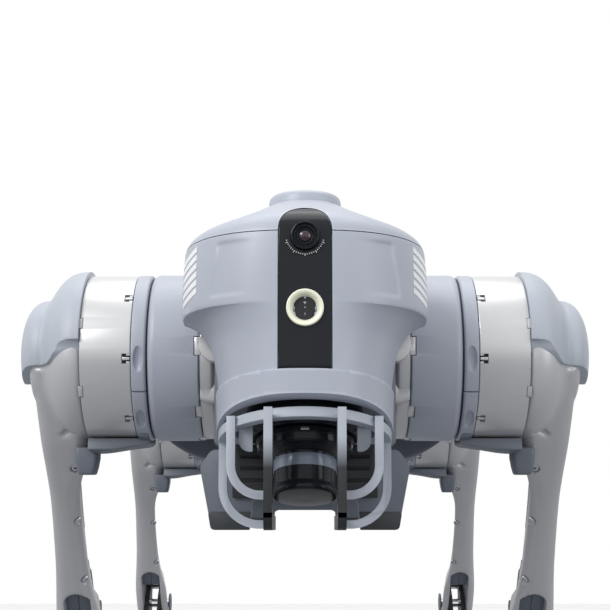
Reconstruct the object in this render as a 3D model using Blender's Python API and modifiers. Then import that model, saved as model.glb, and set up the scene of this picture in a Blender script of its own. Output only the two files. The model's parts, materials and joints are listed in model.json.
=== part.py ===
"""A compact quadruped robot dog, standing on its four feet.

Units are metres. +Z is up, the robot looks along -Y and its left side is +X. The world origin is on the
ground, under the middle of the object's box. Every leg hangs on three hinges: the roll hinge turns about Y,
the hip pitch hinge and the knee turn about X. A crank beside the calf motor drives the knee through a push
rod that runs inside the thigh.
"""

import math

import bmesh
import bpy
from mathutils import Matrix, Vector

# ---------------------------------------------------------------- driving dimensions
HIP_Y = 0.1934                # hip pitch axes ahead of and behind the middle of the trunk
ROLL_X = 0.0465               # roll axes, either side of the middle
LEG_X = 0.1425                # middle plane of thigh and shin
THIGH = 0.213                 # hip axis to knee axis
SHIN = 0.213                  # knee axis to the middle of the foot
FOOT_RADIUS = 0.022
THIGH_LEAN = math.radians(38.4)      # thigh leans back when the robot stands
KNEE_BEND = math.radians(-74.5)      # shin against thigh when the robot stands
KNEE_MIDDLE = math.radians(-102.0)   # knee angle where crank and thigh are square
CRANK = 0.020                 # crank pin from the hip axis, and lever pin from the knee axis
BODY_Y = -0.0096              # shifts the trunk so that the origin is under the middle of the box

GAP = 0.0003                  # left between pieces that touch
JOURNAL_RADIUS = 0.0092       # of the hip castings' roll journals
MOTOR_RADIUS = 0.0468
CASTING_X = (0.0470, 0.0563)
HOUSING_X = (0.0566, 0.0841)
CLAMP_X = (0.0849, 0.0926)
MOTOR_X = (0.0929, 0.1200)
SHELL_INNER_X = 0.1203        # the thigh casting starts here
SHELL_OUTER_X = 0.1515
POCKET_X = 0.1477             # end of the crank's pocket inside the thigh casting
GUARD_OUTER_X = 0.1575

SLOT_HALF = 0.0080            # half width of the knee slot
SLOT_TOP = 0.162              # top of the knee slot, down from the hip axis
SLOT_REAR = 0.0268
KNEE_HALF = 0.0151            # half width of the thigh at the knee
PIN_RADIUS = 0.004
LEVER_PIN_RADIUS = 0.0022
EYE_RADIUS = 0.0058
EYE_HALF = 0.003

HIP_ZONE = (HIP_Y - 0.0519, HIP_Y + 0.0515)   # the stretch of trunk that the hip castings turn in
BULKHEAD_END = 0.2570
TRUNK_HALF = 0.0470
TRUNK_TOP = 0.0520
TRUNK_BOTTOM = -0.0550
DECK_TOP = 0.0620
RAIL_TOP = 0.0660
WEB_HALF = 0.0100
SPINE_HALF = 0.0240
SPINE_CLEAR = 0.0500
ABDUCTION_RADIUS = 0.0560
PAD_BOTTOM = -0.0960

HEAD_REAR = -0.2573
HEAD_DEPTH = 0.0762
HEAD_POWER = 2.5              # squareness of the head's plan
HEAD_WALL = 0.0032
STRIP_DEPTH = 0.0017          # pocket for the face strip
SEAM_Z = 0.0424               # seam between face and hood
STRIP_HALF = 0.0124
STRIP_TOP = 0.0557
STRIP_BOTTOM = -0.0200
LENS_Z = 0.0393
LENS_RADIUS = 0.0066
LIGHT_Z = 0.0055
LIGHT_RADIUS = 0.0087
COLLAR_Y = -0.2885            # middle of the collar and of the laser scanner
COLLAR_TOP = (-0.0225, math.radians(7.5))     # height at the front, slope down to the rear
COLLAR_RIM = (-0.0344, math.radians(13.7))
SCANNER_Z = -0.0468
SCANNER_TILT = math.radians(15.1)
GUARD_BAR_X = (0.0149, 0.0189)
GUARD_FRONT = -0.3334

HIP_Z = THIGH * math.cos(THIGH_LEAN) + SHIN * math.cos(THIGH_LEAN + KNEE_BEND) + FOOT_RADIUS

SEGMENTS = 28                 # around the motors

PARTS = "quadruped_robot_dog"


# ---------------------------------------------------------------- scene and materials
def clear_scene():
    for thing in list(bpy.data.objects):
        bpy.data.objects.remove(thing, do_unlink=True)


def new_collection(name):
    group = bpy.data.collections.new(name)
    bpy.context.scene.collection.children.link(group)
    return group


def material(name, colour, roughness, metallic=0.0):
    finish = bpy.data.materials.new(name)
    finish.use_nodes = True
    shader = finish.node_tree.nodes["Principled BSDF"]
    shader.inputs["Base Color"].default_value = (*colour, 1.0)
    shader.inputs["Roughness"].default_value = roughness
    shader.inputs["Metallic"].default_value = metallic
    return finish


# ---------------------------------------------------------------- shape helpers
def linked(name, mesh):
    thing = bpy.data.objects.new(name, mesh)
    parts.objects.link(thing)
    return thing


def from_bmesh(name, shape):
    mesh = bpy.data.meshes.new(name)
    shape.to_mesh(mesh)
    shape.free()
    return linked(name, mesh)


def box(low, high):
    size = Vector(high) - Vector(low)
    middle = (Vector(high) + Vector(low)) / 2
    shape = bmesh.new()
    bmesh.ops.create_cube(shape, size=1.0, matrix=Matrix.Translation(middle) @ Matrix.Diagonal((*size, 1.0)))
    return from_bmesh("box", shape)


def cylinder(axis, radius, low, high, across=(0.0, 0.0), segments=12):
    """A cylinder along X or Y from low to high, with across giving the other two coordinates."""
    shape = bmesh.new()
    bmesh.ops.create_cone(shape, cap_ends=True, segments=segments, radius1=radius, radius2=radius,
                          depth=high - low)
    turn = Matrix.Rotation(math.pi / 2, 4, "Y" if axis == "X" else "X")
    middle = (low + high) / 2
    place = (middle, *across) if axis == "X" else (across[0], middle, across[1])
    shape.transform(Matrix.Translation(place) @ turn)
    return from_bmesh("cylinder", shape)


def turned(profile, axis="X", segments=SEGMENTS):
    """A closed profile of (distance along the axis, radius) turned about X, Y or Z."""
    shape = bmesh.new()
    corners = [shape.verts.new((radius, 0.0, along)) for along, radius in profile]
    pairs = list(zip(corners, corners[1:] + corners[:1]))
    for first, second in pairs:
        along_axis = first.co.x == 0 and second.co.x == 0
        if not along_axis:
            shape.edges.new((first, second))
    thing = from_bmesh("turned", shape)
    screw = thing.modifiers.new("turn", "SCREW")
    screw.steps = segments
    screw.render_steps = segments
    screw.use_merge_vertices = True
    screw.merge_threshold = 0.00001
    turns = {
        "X": Matrix.Rotation(math.pi / 2, 4, "Y"),
        "Y": Matrix.Rotation(-math.pi / 2, 4, "X"),
        "Z": Matrix.Identity(4),
    }
    bake(thing, turns[axis])
    return thing


def outline(points, plane, low, high):
    """A flat outline in the YZ, XZ or XY plane, made solid between low and high along the third axis."""
    curve = bpy.data.curves.new("outline", "CURVE")
    curve.dimensions = "2D"
    curve.fill_mode = "BOTH"
    curve.extrude = (high - low) / 2
    spline = curve.splines.new("POLY")
    spline.points.add(len(points) - 1)
    for slot, (first, second) in zip(spline.points, points):
        slot.co = (first, second, 0.0, 1.0)
    spline.use_cyclic_u = True
    thing = linked("outline", curve)
    middle = (high + low) / 2
    frames = {
        "YZ": Matrix(((0, 0, 1, middle), (1, 0, 0, 0), (0, 1, 0, 0), (0, 0, 0, 1))),
        "XZ": Matrix(((1, 0, 0, 0), (0, 0, -1, middle), (0, 1, 0, 0), (0, 0, 0, 1))),
        "XY": Matrix(((1, 0, 0, 0), (0, 1, 0, 0), (0, 0, 1, middle), (0, 0, 0, 1))),
    }
    thing.matrix_world = frames[plane]
    return as_mesh(thing)


def as_mesh(thing):
    """Replaces a curve object by a mesh with its caps welded on."""
    bpy.context.view_layer.update()
    evaluated = thing.evaluated_get(bpy.context.evaluated_depsgraph_get())
    mesh = bpy.data.meshes.new_from_object(evaluated)
    shape = bmesh.new()
    shape.from_mesh(mesh)
    bmesh.ops.remove_doubles(shape, verts=shape.verts, dist=0.00001)
    bmesh.ops.recalc_face_normals(shape, faces=shape.faces)
    shape.transform(thing.matrix_world)
    shape.to_mesh(mesh)
    shape.free()
    solid = linked(thing.name + "_solid", mesh)
    bpy.data.objects.remove(thing)
    return solid


def loft(rings):
    """A closed solid through rings of equally many points, capped at both ends."""
    shape = bmesh.new()
    rows = [[shape.verts.new(point) for point in ring] for ring in rings]
    for lower, upper in zip(rows, rows[1:]):
        for i in range(len(lower)):
            j = (i + 1) % len(lower)
            shape.faces.new((lower[i], lower[j], upper[j], upper[i]))
    shape.faces.new(rows[0])
    shape.faces.new(rows[-1])
    bmesh.ops.recalc_face_normals(shape, faces=shape.faces)
    return from_bmesh("loft", shape)


def bake(thing, transform=None):
    """Makes the object's modifiers part of its mesh, with its faces pointing out."""
    bpy.context.view_layer.update()
    evaluated = thing.evaluated_get(bpy.context.evaluated_depsgraph_get())
    mesh = bpy.data.meshes.new_from_object(evaluated)
    shape = bmesh.new()
    shape.from_mesh(mesh)
    bmesh.ops.remove_doubles(shape, verts=shape.verts, dist=0.000005)
    bmesh.ops.recalc_face_normals(shape, faces=shape.faces)
    if transform:
        shape.transform(transform)
    shape.to_mesh(mesh)
    shape.free()
    thing.modifiers.clear()
    thing.data = mesh


def combine(thing, other, operation):
    """Joins, cuts or intersects a solid with another one, which is used up."""
    cut = thing.modifiers.new(operation.lower(), "BOOLEAN")
    cut.operation = operation
    cut.object = other
    bake(thing)
    bpy.data.objects.remove(other)
    return thing


def union(first, *others):
    for other in others:
        combine(first, other, "UNION")
    return first


def minus(first, *others):
    for other in others:
        combine(first, other, "DIFFERENCE")
    return first


def common(first, *others):
    for other in others:
        combine(first, other, "INTERSECT")
    return first


def rounded(thing, width, segments=1):
    edge = thing.modifiers.new("rounded edges", "BEVEL")
    edge.width = width
    edge.segments = segments
    edge.angle_limit = math.radians(35)
    bake(thing)
    return thing


def arc(middle, radius, start, end, steps):
    """Points on an arc, with angles in degrees."""
    angles = [math.radians(start + (end - start) * i / steps) for i in range(steps + 1)]
    return [(middle[0] + radius * math.cos(a), middle[1] + radius * math.sin(a)) for a in angles]


def node(name, thing, finish, parent, location=(0.0, 0.0, 0.0)):
    """Gives a finished solid its node name, material and parent."""
    thing.name = name
    thing.data.name = name
    thing.data.materials.clear()
    thing.data.materials.append(finish)
    thing.data.shade_smooth()
    thing.data.set_sharp_from_angle(angle=math.radians(30))
    thing.parent = parent
    thing.location = location
    return thing


def empty(name, parent, location, rotation_x=0.0):
    frame = bpy.data.objects.new(name, None)
    frame.empty_display_size = 0.03
    parts.objects.link(frame)
    frame.parent = parent
    frame.location = location
    frame.rotation_euler = (rotation_x, 0.0, 0.0)
    return frame


def mirrored(mesh):
    """The same mesh for the robot's other side."""
    copy = mesh.copy()
    shape = bmesh.new()
    shape.from_mesh(copy)
    shape.transform(Matrix.Scale(-1, 4, (1, 0, 0)))
    bmesh.ops.reverse_faces(shape, faces=shape.faces)
    shape.to_mesh(copy)
    shape.free()
    return copy


# ---------------------------------------------------------------- leg patterns, left side
# Hip and thigh pieces are drawn around the hip pitch axis, with X from the middle of the robot. Shin and foot
# are drawn around the knee axis, with the shin pointing down.
def ring(low, high, outer, inner):
    """A turned ring or sleeve about X."""
    return turned([(low, inner), (low, outer), (high, outer), (high, inner)])


def hip_casting():
    disc = ring(*CASTING_X, MOTOR_RADIUS - 0.0010, 0.012)
    hub = cylinder("Y", 0.0295, -0.0460, 0.0460, across=(ROLL_X, 0.0), segments=20)
    common(hub, box((0.0, -0.0480, -0.0400), (CASTING_X[1], 0.0480, 0.0400)))
    journals = cylinder("Y", JOURNAL_RADIUS, -0.0580, 0.0580, across=(ROLL_X, 0.0))
    return union(hub, journals, disc)


def hip_housing():
    return ring(*HOUSING_X, MOTOR_RADIUS, 0.012)


def clamp_ring():
    """The split clamp ring with its cable tray, which runs under the calf motor."""
    band = ring(*CLAMP_X, MOTOR_RADIUS - 0.0002, 0.012)
    down = -90 - math.degrees(THIGH_LEAN)
    tray_points = arc((0, 0), 0.0523, down - 24, down + 24, 4)
    tray_points += arc((0, 0), MOTOR_RADIUS + GAP, down + 24, down - 24, 4)
    tray = outline(tray_points, "YZ", CLAMP_X[0] + 0.001, 0.1190)
    anchor_points = arc((0, 0), 0.0500, down - 20, down + 20, 3)
    anchor_points += arc((0, 0), 0.0400, down + 20, down - 20, 3)
    anchor = outline(anchor_points, "YZ", CLAMP_X[0] + 0.0015, CLAMP_X[1] - 0.0012)
    return union(band, anchor, tray)


def calf_motor():
    return ring(*MOTOR_X, MOTOR_RADIUS - 0.0006, 0.0060)


def shoulder_profile(grow):
    """Distance along the axis and radius of the thigh's round shoulder, from its inner to its outer face."""
    return [(SHELL_INNER_X, 0.0457 + grow), (0.1350, 0.0457 + grow), (0.1470, 0.0370 + grow),
            (SHELL_OUTER_X, 0.0318 + grow)]


def thigh_shoulder():
    profile = shoulder_profile(0.0)
    return turned([(profile[0][0], 0.0)] + profile + [(profile[-1][0], 0.0)])


def thigh_side():
    """The thigh casting below the shoulder, from the side: a slim shank and a round knee."""
    points = [(-0.0310, -0.004), (0.0, 0.010), (0.0300, -0.006), (0.0325, -0.062), (0.0300, -0.105)]
    points += arc((0.006, -THIGH), 0.0235, 0, -180, 8)
    points += [(-0.0165, -0.165), (-0.0185, -0.110), (-0.0275, -0.065)]
    return outline(points, "YZ", SHELL_INNER_X - 0.002, GUARD_OUTER_X + 0.004)


def thigh_front():
    """The thigh casting from the front, tapering in from the shoulder and out again at the knee."""
    outer = [(SHELL_OUTER_X, 0.050), (SHELL_OUTER_X, -0.110), (0.1530, -0.147)]
    outer += [(LEG_X + KNEE_HALF, -0.184), (LEG_X + KNEE_HALF, -0.240)]
    inner = [(LEG_X - KNEE_HALF, -0.240), (LEG_X - KNEE_HALF, -0.184), (0.1320, -0.152)]
    inner += [(0.1325, -0.092), (0.1240, -0.060), (SHELL_INNER_X, -0.046), (SHELL_INNER_X, 0.050)]
    return outline(outer + inner, "XZ", -0.06, 0.06)


def knee_slot():
    points = [(LEG_X - SLOT_HALF, -0.260)]
    points += arc((LEG_X, -SLOT_TOP - SLOT_HALF), SLOT_HALF, 180, 0, 6)
    points += [(LEG_X + SLOT_HALF, -0.260)]
    return outline(points, "XZ", -0.05, SLOT_REAR)


def thigh_shell():
    casting = union(common(thigh_side(), thigh_front()), thigh_shoulder())
    pocket = cylinder("X", 0.0275, SHELL_INNER_X - 0.01, POCKET_X, segments=20)
    channel = box((LEG_X - 0.0048, 0.0070, -SLOT_TOP - 0.012), (LEG_X + 0.0048, 0.0250, -0.012))
    pin_hole = cylinder("X", PIN_RADIUS + GAP, 0.12, 0.17, across=(0.0, -THIGH))
    return minus(casting, pocket, knee_slot(), channel, pin_hole)


def shoulder_guard():
    """The shoulder's cap: a low inner lobe, a smaller outer lobe and a scalloped lower edge."""
    profile = [(SHELL_INNER_X, 0.0486), (0.1365, 0.0486), (0.1450, 0.0430), (0.1490, 0.0375)]
    profile += [(0.1550, 0.0340), (GUARD_OUTER_X, 0.0270), (GUARD_OUTER_X, 0.0)]
    inside = shoulder_profile(0.0005)
    inside[-1] = (SHELL_OUTER_X + GAP, inside[-1][1])
    cap = turned(profile + [(inside[-1][0], 0.0)] + inside[::-1])
    lower = [(-0.07, -0.08), (-0.07, 0.0330), (-0.0380, 0.0300), (-0.0180, 0.0040), (0.0, -0.0040)]
    lower += [(0.0200, -0.0080), (0.0470, -0.0110), (0.07, -0.0120), (0.07, -0.08)]
    return minus(cap, outline(lower, "YZ", 0.10, 0.18))


def knee_pin():
    half = KNEE_HALF - 0.001
    return cylinder("X", PIN_RADIUS, LEG_X - half, LEG_X + half, across=(0.0, -THIGH))


def crank():
    """The calf motor's output crank: shaft, arm and crank pin. It points along its own -Z."""
    shaft = cylinder("X", 0.0055, MOTOR_X[0] + 0.012, 0.1300)
    sides = arc((0, 0), 0.0085, 155, 25, 4) + arc((0, -CRANK), EYE_RADIUS, -10, -170, 5)
    arm = outline(sides, "YZ", 0.1290, LEG_X - EYE_HALF - 0.0006)
    pin = cylinder("X", LEVER_PIN_RADIUS, 0.1350, LEG_X + EYE_HALF + 0.0005, across=(0.0, -CRANK), segments=8)
    return union(arm, shaft, pin)


def push_rod():
    """Two eyes on a slim bar, drawn upwards from the lever pin."""
    bar = box((LEG_X - 0.0022, -0.0026, 0.0035), (LEG_X + 0.0022, 0.0026, THIGH - 0.0035))
    low_eye = cylinder("X", EYE_RADIUS - 0.0003, LEG_X - EYE_HALF, LEG_X + EYE_HALF, segments=14)
    high_eye = cylinder("X", EYE_RADIUS - 0.0003, LEG_X - EYE_HALF, LEG_X + EYE_HALF, across=(0, THIGH),
                        segments=14)
    rod = union(bar, low_eye, high_eye)
    holes = [cylinder("X", LEVER_PIN_RADIUS + 0.0006, 0.12, 0.16, across=(0, z), segments=8)
             for z in (0.0, THIGH)]
    return minus(rod, *holes)


def lever_direction():
    """Where the shin's lever points, in the shin's own frame, as a (Y, Z) pair."""
    angle = math.pi / 2 - KNEE_MIDDLE
    return math.sin(angle), -math.cos(angle)


def shin():
    """A forked head with the lever, and a slim bowed shank."""
    front = [(-0.0115, -0.004), (-0.0120, -0.030), (-0.0150, -0.070), (-0.0185, -0.110), (-0.0150, -0.158)]
    front += [(-0.0075, -0.1880), (-0.0072, -0.2050)]
    back = [(0.0072, -0.2050), (0.0072, -0.1880), (0.0040, -0.158), (0.0020, -0.110), (0.0050, -0.070)]
    back += [(0.0085, -0.030)]
    shank = outline(front + back + [(0.0115, -0.004)], "YZ", LEG_X - 0.0072, LEG_X + 0.0072)
    head = cylinder("X", 0.0125, LEG_X - 0.0074, LEG_X + 0.0074, segments=16)
    lever_y, lever_z = lever_direction()
    angle = math.degrees(math.atan2(lever_z, lever_y))
    tip = (CRANK * lever_y, CRANK * lever_z)
    sides = arc((0, 0), 0.0095, angle + 250, angle + 110, 4) + arc(tip, EYE_RADIUS, angle + 80, angle - 80, 5)
    lever = outline(sides, "YZ", LEG_X - 0.0074, LEG_X + 0.0074)
    body = union(shank, head, lever)
    fork = box((LEG_X - 0.0038, -0.04, -0.0190), (LEG_X + 0.0038, 0.04, 0.04))
    pin_hole = cylinder("X", PIN_RADIUS + GAP, 0.12, 0.17)
    minus(body, fork, pin_hole)
    lever_pin = cylinder("X", LEVER_PIN_RADIUS, LEG_X - 0.0050, LEG_X + 0.0050, across=tip, segments=8)
    return union(body, lever_pin)


def foot():
    """A rubber ball around the shin's end."""
    ball = bmesh.new()
    bmesh.ops.create_uvsphere(ball, u_segments=14, v_segments=8, radius=FOOT_RADIUS)
    ball.transform(Matrix.Translation((LEG_X, 0.0, -SHIN)) @ Matrix.Diagonal((0.85, 1.0, 1.0, 1.0)))
    socket = box((LEG_X - 0.0075, -0.0079, -0.2053), (LEG_X + 0.0075, 0.0076, -0.15))
    return minus(from_bmesh("foot", ball), socket)


# ---------------------------------------------------------------- legs
def leg_patterns():
    """One set of leg pieces for the left side: name, maker, material, body and the X of its axis."""
    rows = [
        ("hip_casting", hip_casting, silver, "roll", ROLL_X),
        ("hip_housing", hip_housing, blue_grey, "roll", ROLL_X),
        ("clamp_ring", clamp_ring, dark_blue, "pitch", LEG_X),
        ("calf_motor", calf_motor, silver, "pitch", LEG_X),
        ("thigh_shell", thigh_shell, silver, "pitch", LEG_X),
        ("shoulder_guard", shoulder_guard, blue_grey, "pitch", LEG_X),
        ("knee_pin", knee_pin, steel, "pitch", LEG_X),
        ("crank", crank, steel, "crank", LEG_X),
        ("push_rod", push_rod, steel, "rod", LEG_X),
        ("shin", shin, black, "knee", LEG_X),
        ("foot", foot, rubber, "knee", LEG_X),
    ]
    patterns = []
    for name, maker, finish, frame, axis_x in rows:
        thing = maker()
        thing.data.transform(Matrix.Translation((-axis_x, 0.0, 0.0)))
        patterns.append((name, thing.data.copy(), finish, frame))
        bpy.data.objects.remove(thing)
    return patterns


def leg(prefix, side, end, patterns, trunk):
    """Places one leg: side is +1 on the left and -1 on the right, end is -1 at the front and +1 behind."""
    roll = empty(prefix + "_roll_axis", trunk, (side * ROLL_X, end * HIP_Y, 0.0))
    pitch = empty(prefix + "_pitch_axis", roll, (side * (LEG_X - ROLL_X), 0.0, 0.0), THIGH_LEAN)
    knee = empty(prefix + "_knee_axis", pitch, (0.0, 0.0, -THIGH), KNEE_BEND)
    crank_turn = math.pi / 2 + KNEE_BEND - KNEE_MIDDLE
    crank_axis = empty(prefix + "_crank_axis", pitch, (0.0, 0.0, 0.0), crank_turn)
    lever_y, lever_z = lever_direction()
    rod = empty(prefix + "_rod_axis", knee, (0.0, CRANK * lever_y, CRANK * lever_z), -KNEE_BEND)
    frames = {"roll": roll, "pitch": pitch, "knee": knee, "crank": crank_axis, "rod": rod}
    for name, mesh, finish, frame in patterns:
        own = mesh.copy() if side > 0 else mirrored(mesh)
        node(f"{prefix}_{name}", linked(name, own), finish, frames[frame])


# ---------------------------------------------------------------- trunk
def trunk_frame(trunk):
    """The chassis: a middle body, four roll motor bays, and webs that carry the two bulkheads."""
    middle_end = HIP_ZONE[0]
    body = rounded(box((-TRUNK_HALF, -middle_end, TRUNK_BOTTOM), (TRUNK_HALF, middle_end, TRUNK_TOP)), 0.006)
    for side in (-1, 1):
        for end in (-1, 1):
            low, high = sorted((end * (middle_end - 0.034), end * (middle_end - 0.0005)))
            bay = cylinder("Y", ABDUCTION_RADIUS, low, high, across=(side * ROLL_X, 0.0), segments=24)
            common(bay, box((-0.2, low - 0.1, TRUNK_BOTTOM + 0.0005), (0.2, high + 0.1, TRUNK_TOP - 0.0005)))
            union(body, bay)
    for end in (-1, 1):
        low, high = sorted((end * (middle_end - 0.004), end * (BULKHEAD_END - 0.003)))
        union(body, box((-WEB_HALF, low, -SPINE_CLEAR), (WEB_HALF, high, TRUNK_TOP - 0.001)))
        low, high = sorted((end * HIP_ZONE[1], end * BULKHEAD_END))
        bulkhead = box((-TRUNK_HALF, low, -0.0540), (TRUNK_HALF, high, 0.0400))
        union(body, rounded(bulkhead, 0.004))
    for side in (-1, 1):
        for end in (-1, 1):
            low, high = sorted((end * (HIP_Y - 0.0600), end * (HIP_Y + 0.0600)))
            minus(body, cylinder("Y", JOURNAL_RADIUS + 0.0008, low, high, across=(side * ROLL_X, 0.0)))
    minus(body, box((0.0050, -0.0720, -0.0400), (TRUNK_HALF + 0.01, 0.0720, 0.0400)))
    node("trunk_frame", body, dark_blue, trunk)


def top_cover(trunk):
    """The deck over the trunk, with a neck over each hip zone and two payload rails."""
    end = HIP_ZONE[0] - 0.001
    underside = TRUNK_TOP + GAP
    deck = rounded(box((-0.0500, -end, underside), (0.0500, end, DECK_TOP)), 0.003)
    neck = box((-SPINE_HALF, -0.2450, underside), (SPINE_HALF, BULKHEAD_END, DECK_TOP - 0.001))
    union(deck, rounded(neck, 0.002))
    for side in (-1, 1):
        low, high = sorted((side * 0.0270, side * 0.0350))
        union(deck, box((low, -0.0900, DECK_TOP - 0.001), (high, 0.0900, RAIL_TOP)))
    node("top_cover", deck, blue_grey, trunk)


def belly_cover(trunk):
    """The belly pan with the blocks that the robot lies down on."""
    end = HIP_ZONE[0] - 0.001
    pan = rounded(box((-0.0440, -end, -0.0650), (0.0440, end, TRUNK_BOTTOM - GAP)), 0.004)
    keel = box((-SPINE_HALF, -0.2540, -0.0640), (SPINE_HALF, 0.2540, TRUNK_BOTTOM - GAP))
    union(pan, keel)
    block = [(-0.0540, -0.0640), (-0.0478, PAD_BOTTOM), (0.0478, PAD_BOTTOM), (0.0540, -0.0640)]
    for side in (-1, 1):
        low, high = sorted((side * (HIP_ZONE[1] + 0.0006), side * (BULKHEAD_END - 0.0010)))
        union(pan, outline(block + [(0.0480, -0.0553), (-0.0480, -0.0553)], "XZ", low, high))
    node("belly_cover", pan, dark_blue, trunk)


def battery(trunk):
    """The battery pack in its bay on the left side, with a recess for the power button."""
    pack = box((0.0056, -0.0714, -0.0394), (TRUNK_HALF + 0.0030, 0.0714, 0.0394))
    rounded(pack, 0.003)
    well = cylinder("X", 0.0098, 0.0400, 0.0600, across=(0.0450, 0.0180), segments=16)
    node("battery", minus(pack, well), dark_grey, trunk)


def power_button(trunk):
    cap = [(0.0420, 0.0), (0.0420, 0.0090), (0.0505, 0.0090), (0.0512, 0.0082), (0.0512, 0.0)]
    node("power_button", turned(cap, segments=16), silver, trunk, (0.0, 0.0450, 0.0180))


def rear_cover(trunk):
    """The rounded tail cover."""
    rings = []
    for y, shrink in ((BULKHEAD_END + GAP, 0.0), (0.2700, 0.0010), (0.2800, 0.0060), (0.2860, 0.0140)):
        rings.append([(x, y, z + 0.001) for x, z in superellipse(0.0500 - shrink, 0.0500 - shrink, 3.2, 24)])
    node("rear_cover", loft(rings), blue_grey, trunk)


def superellipse(half_width, half_height, power, steps):
    points = []
    for i in range(steps):
        angle = 2 * math.pi * i / steps
        c, s = math.cos(angle), math.sin(angle)
        points.append((half_width * math.copysign(abs(c) ** (2 / power), c),
                       half_height * math.copysign(abs(s) ** (2 / power), s)))
    return points


# ---------------------------------------------------------------- head
# Heights, half widths and depths of the head's plan, from the chin to the crown.
HEAD_ROWS = (
    (-0.0440, 0.0432, 0.0762), (-0.0297, 0.0437, 0.0762), (-0.0178, 0.0448, 0.0762),
    (-0.0062, 0.0473, 0.0762), (0.0000, 0.0508, 0.0762), (0.0056, 0.0562, 0.0761),
    (0.0090, 0.0605, 0.0760), (0.0250, 0.0600, 0.0757), (0.0360, 0.0590, 0.0750),
    (0.0436, 0.0574, 0.0738), (0.0485, 0.0513, 0.0710), (0.0521, 0.0420, 0.0670),
    (0.0553, 0.0343, 0.0610), (0.0586, 0.0287, 0.0530), (0.0618, 0.0238, 0.0440), (0.0650, 0.0190, 0.0340),
)
CROWN_Y = -0.2720             # middle of the round cap on the crown
CAP_RADIUS = 0.0180


def head_surface(inset=0.0, low=None, high=None, rear=HEAD_REAR):
    """The head's outer form, or the same form inset or raised by a wall thickness."""
    rings = []
    for z, half_width, depth in HEAD_ROWS:
        if (low is not None and z < low) or (high is not None and z > high):
            continue
        ring_points = []
        steps = 16
        for i in range(steps + 1):
            angle = math.pi * i / steps
            across = math.copysign(abs(math.cos(angle)) ** (2 / HEAD_POWER), math.cos(angle))
            ahead = abs(math.sin(angle)) ** (2 / HEAD_POWER)
            ring_points.append(((half_width - inset) * across, HEAD_REAR - (depth - inset) * ahead, z))
        ring_points[0] = (ring_points[0][0], rear, z)
        ring_points[-1] = (ring_points[-1][0], rear, z)
        rings.append(ring_points)
    return loft(rings)


def slope_box(front_z, slope, above):
    """Everything above (or below) a plane that falls towards the rear from the head's front."""
    low, high = (0.0, 0.2) if above else (-0.2, 0.0)
    block = box((-0.1, -0.05, low), (0.1, 0.15, high))
    front = Matrix.Translation((0.0, HEAD_REAR - HEAD_DEPTH, front_z))
    block.data.transform(front @ Matrix.Rotation(-slope, 4, "X"))
    return block


def strip_prism(grow=0.0):
    """The face strip's outline, straight at the bottom and round at the top."""
    half = STRIP_HALF + grow
    bottom = STRIP_BOTTOM - grow
    points = [(-half, bottom), (half, bottom)] + arc((0, STRIP_TOP - STRIP_HALF), half, 0, 180, 10)
    return outline(points, "XZ", -0.36, -0.30)


def face_holes(extra):
    return [cylinder("Y", radius + extra, -0.36, -0.3160, across=(0.0, z), segments=20)
            for radius, z in ((LENS_RADIUS, LENS_Z), (LIGHT_RADIUS, LIGHT_Z))]


def head(trunk):
    """Face shell, hood, crown cap and the glossy strip that crosses them."""
    slab = box((-0.1, -0.4, -0.1), (0.1, -0.2, SEAM_Z - GAP / 2))
    face = common(head_surface(), slab)
    minus(face, slope_box(COLLAR_TOP[0], COLLAR_TOP[1], above=False))
    hood = common(head_surface(), box((-0.1, -0.4, SEAM_Z + GAP / 2), (0.1, -0.2, 0.2)))
    for shell in (face, hood):
        pocket = minus(strip_prism(GAP), head_surface(STRIP_DEPTH))
        minus(shell, pocket)
    for shell in (face, hood):
        inside = head_surface(HEAD_WALL, low=-0.0150, high=0.0560, rear=HEAD_REAR + 0.01)
        minus(shell, inside, *face_holes(2 * GAP))
    node("head_shell", face, blue_grey, trunk)
    node("head_hood", hood, blue_grey, trunk)

    strip = common(strip_prism(), head_surface(-0.0002))
    minus(strip, head_surface(0.0014), *face_holes(2 * GAP))
    node("face_window", strip, gloss_black, trunk)

    cap = [(0.0653, 0.0), (0.0653, CAP_RADIUS - 0.0006), (0.0660, CAP_RADIUS), (0.0700, CAP_RADIUS - 0.0004)]
    cap += [(0.0714, CAP_RADIUS - 0.0024), (0.0714, 0.0)]
    node("head_cap", turned(cap, axis="Z", segments=24), blue_grey, trunk, (0.0, CROWN_Y, 0.0))


def camera_lens(trunk):
    barrel = [(-0.3180, 0.0), (-0.3180, LENS_RADIUS), (-0.3308, LENS_RADIUS), (-0.3314, LENS_RADIUS - 0.0008)]
    barrel += [(-0.3305, 0.0040), (-0.3296, 0.0030), (-0.3306, 0.0)]
    node("camera_lens", turned(barrel, axis="Y", segments=20), gloss_black, trunk, (0.0, 0.0, LENS_Z))


def headlight(trunk):
    lamp = [(-0.3180, 0.0), (-0.3180, LIGHT_RADIUS), (-0.3338, LIGHT_RADIUS)]
    lamp += [(-0.3344, LIGHT_RADIUS - 0.0010), (-0.3330, 0.0050), (-0.3320, 0.0036), (-0.3326, 0.0)]
    node("headlight", turned(lamp, axis="Y", segments=24), cream, trunk, (0.0, 0.0, LIGHT_Z))


def collar(trunk):
    """The collar under the face, open below around the laser scanner."""
    ring_solid = head_surface(-0.0004, high=0.0)
    minus(ring_solid, slope_box(COLLAR_TOP[0] - GAP, COLLAR_TOP[1], above=True))
    minus(ring_solid, slope_box(COLLAR_RIM[0], COLLAR_RIM[1], above=False))
    bore = turned([(-0.05, 0.0), (-0.05, 0.0392), (0.0110, 0.0392), (0.0110, 0.0)], axis="Z")
    bore.data.transform(scanner_frame())
    minus(ring_solid, bore)
    node("collar", ring_solid, blue_grey, trunk)


# ---------------------------------------------------------------- laser scanner and its guard
def scanner_frame():
    return Matrix.Translation((0.0, COLLAR_Y, SCANNER_Z)) @ Matrix.Rotation(-SCANNER_TILT, 4, "X")


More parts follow.
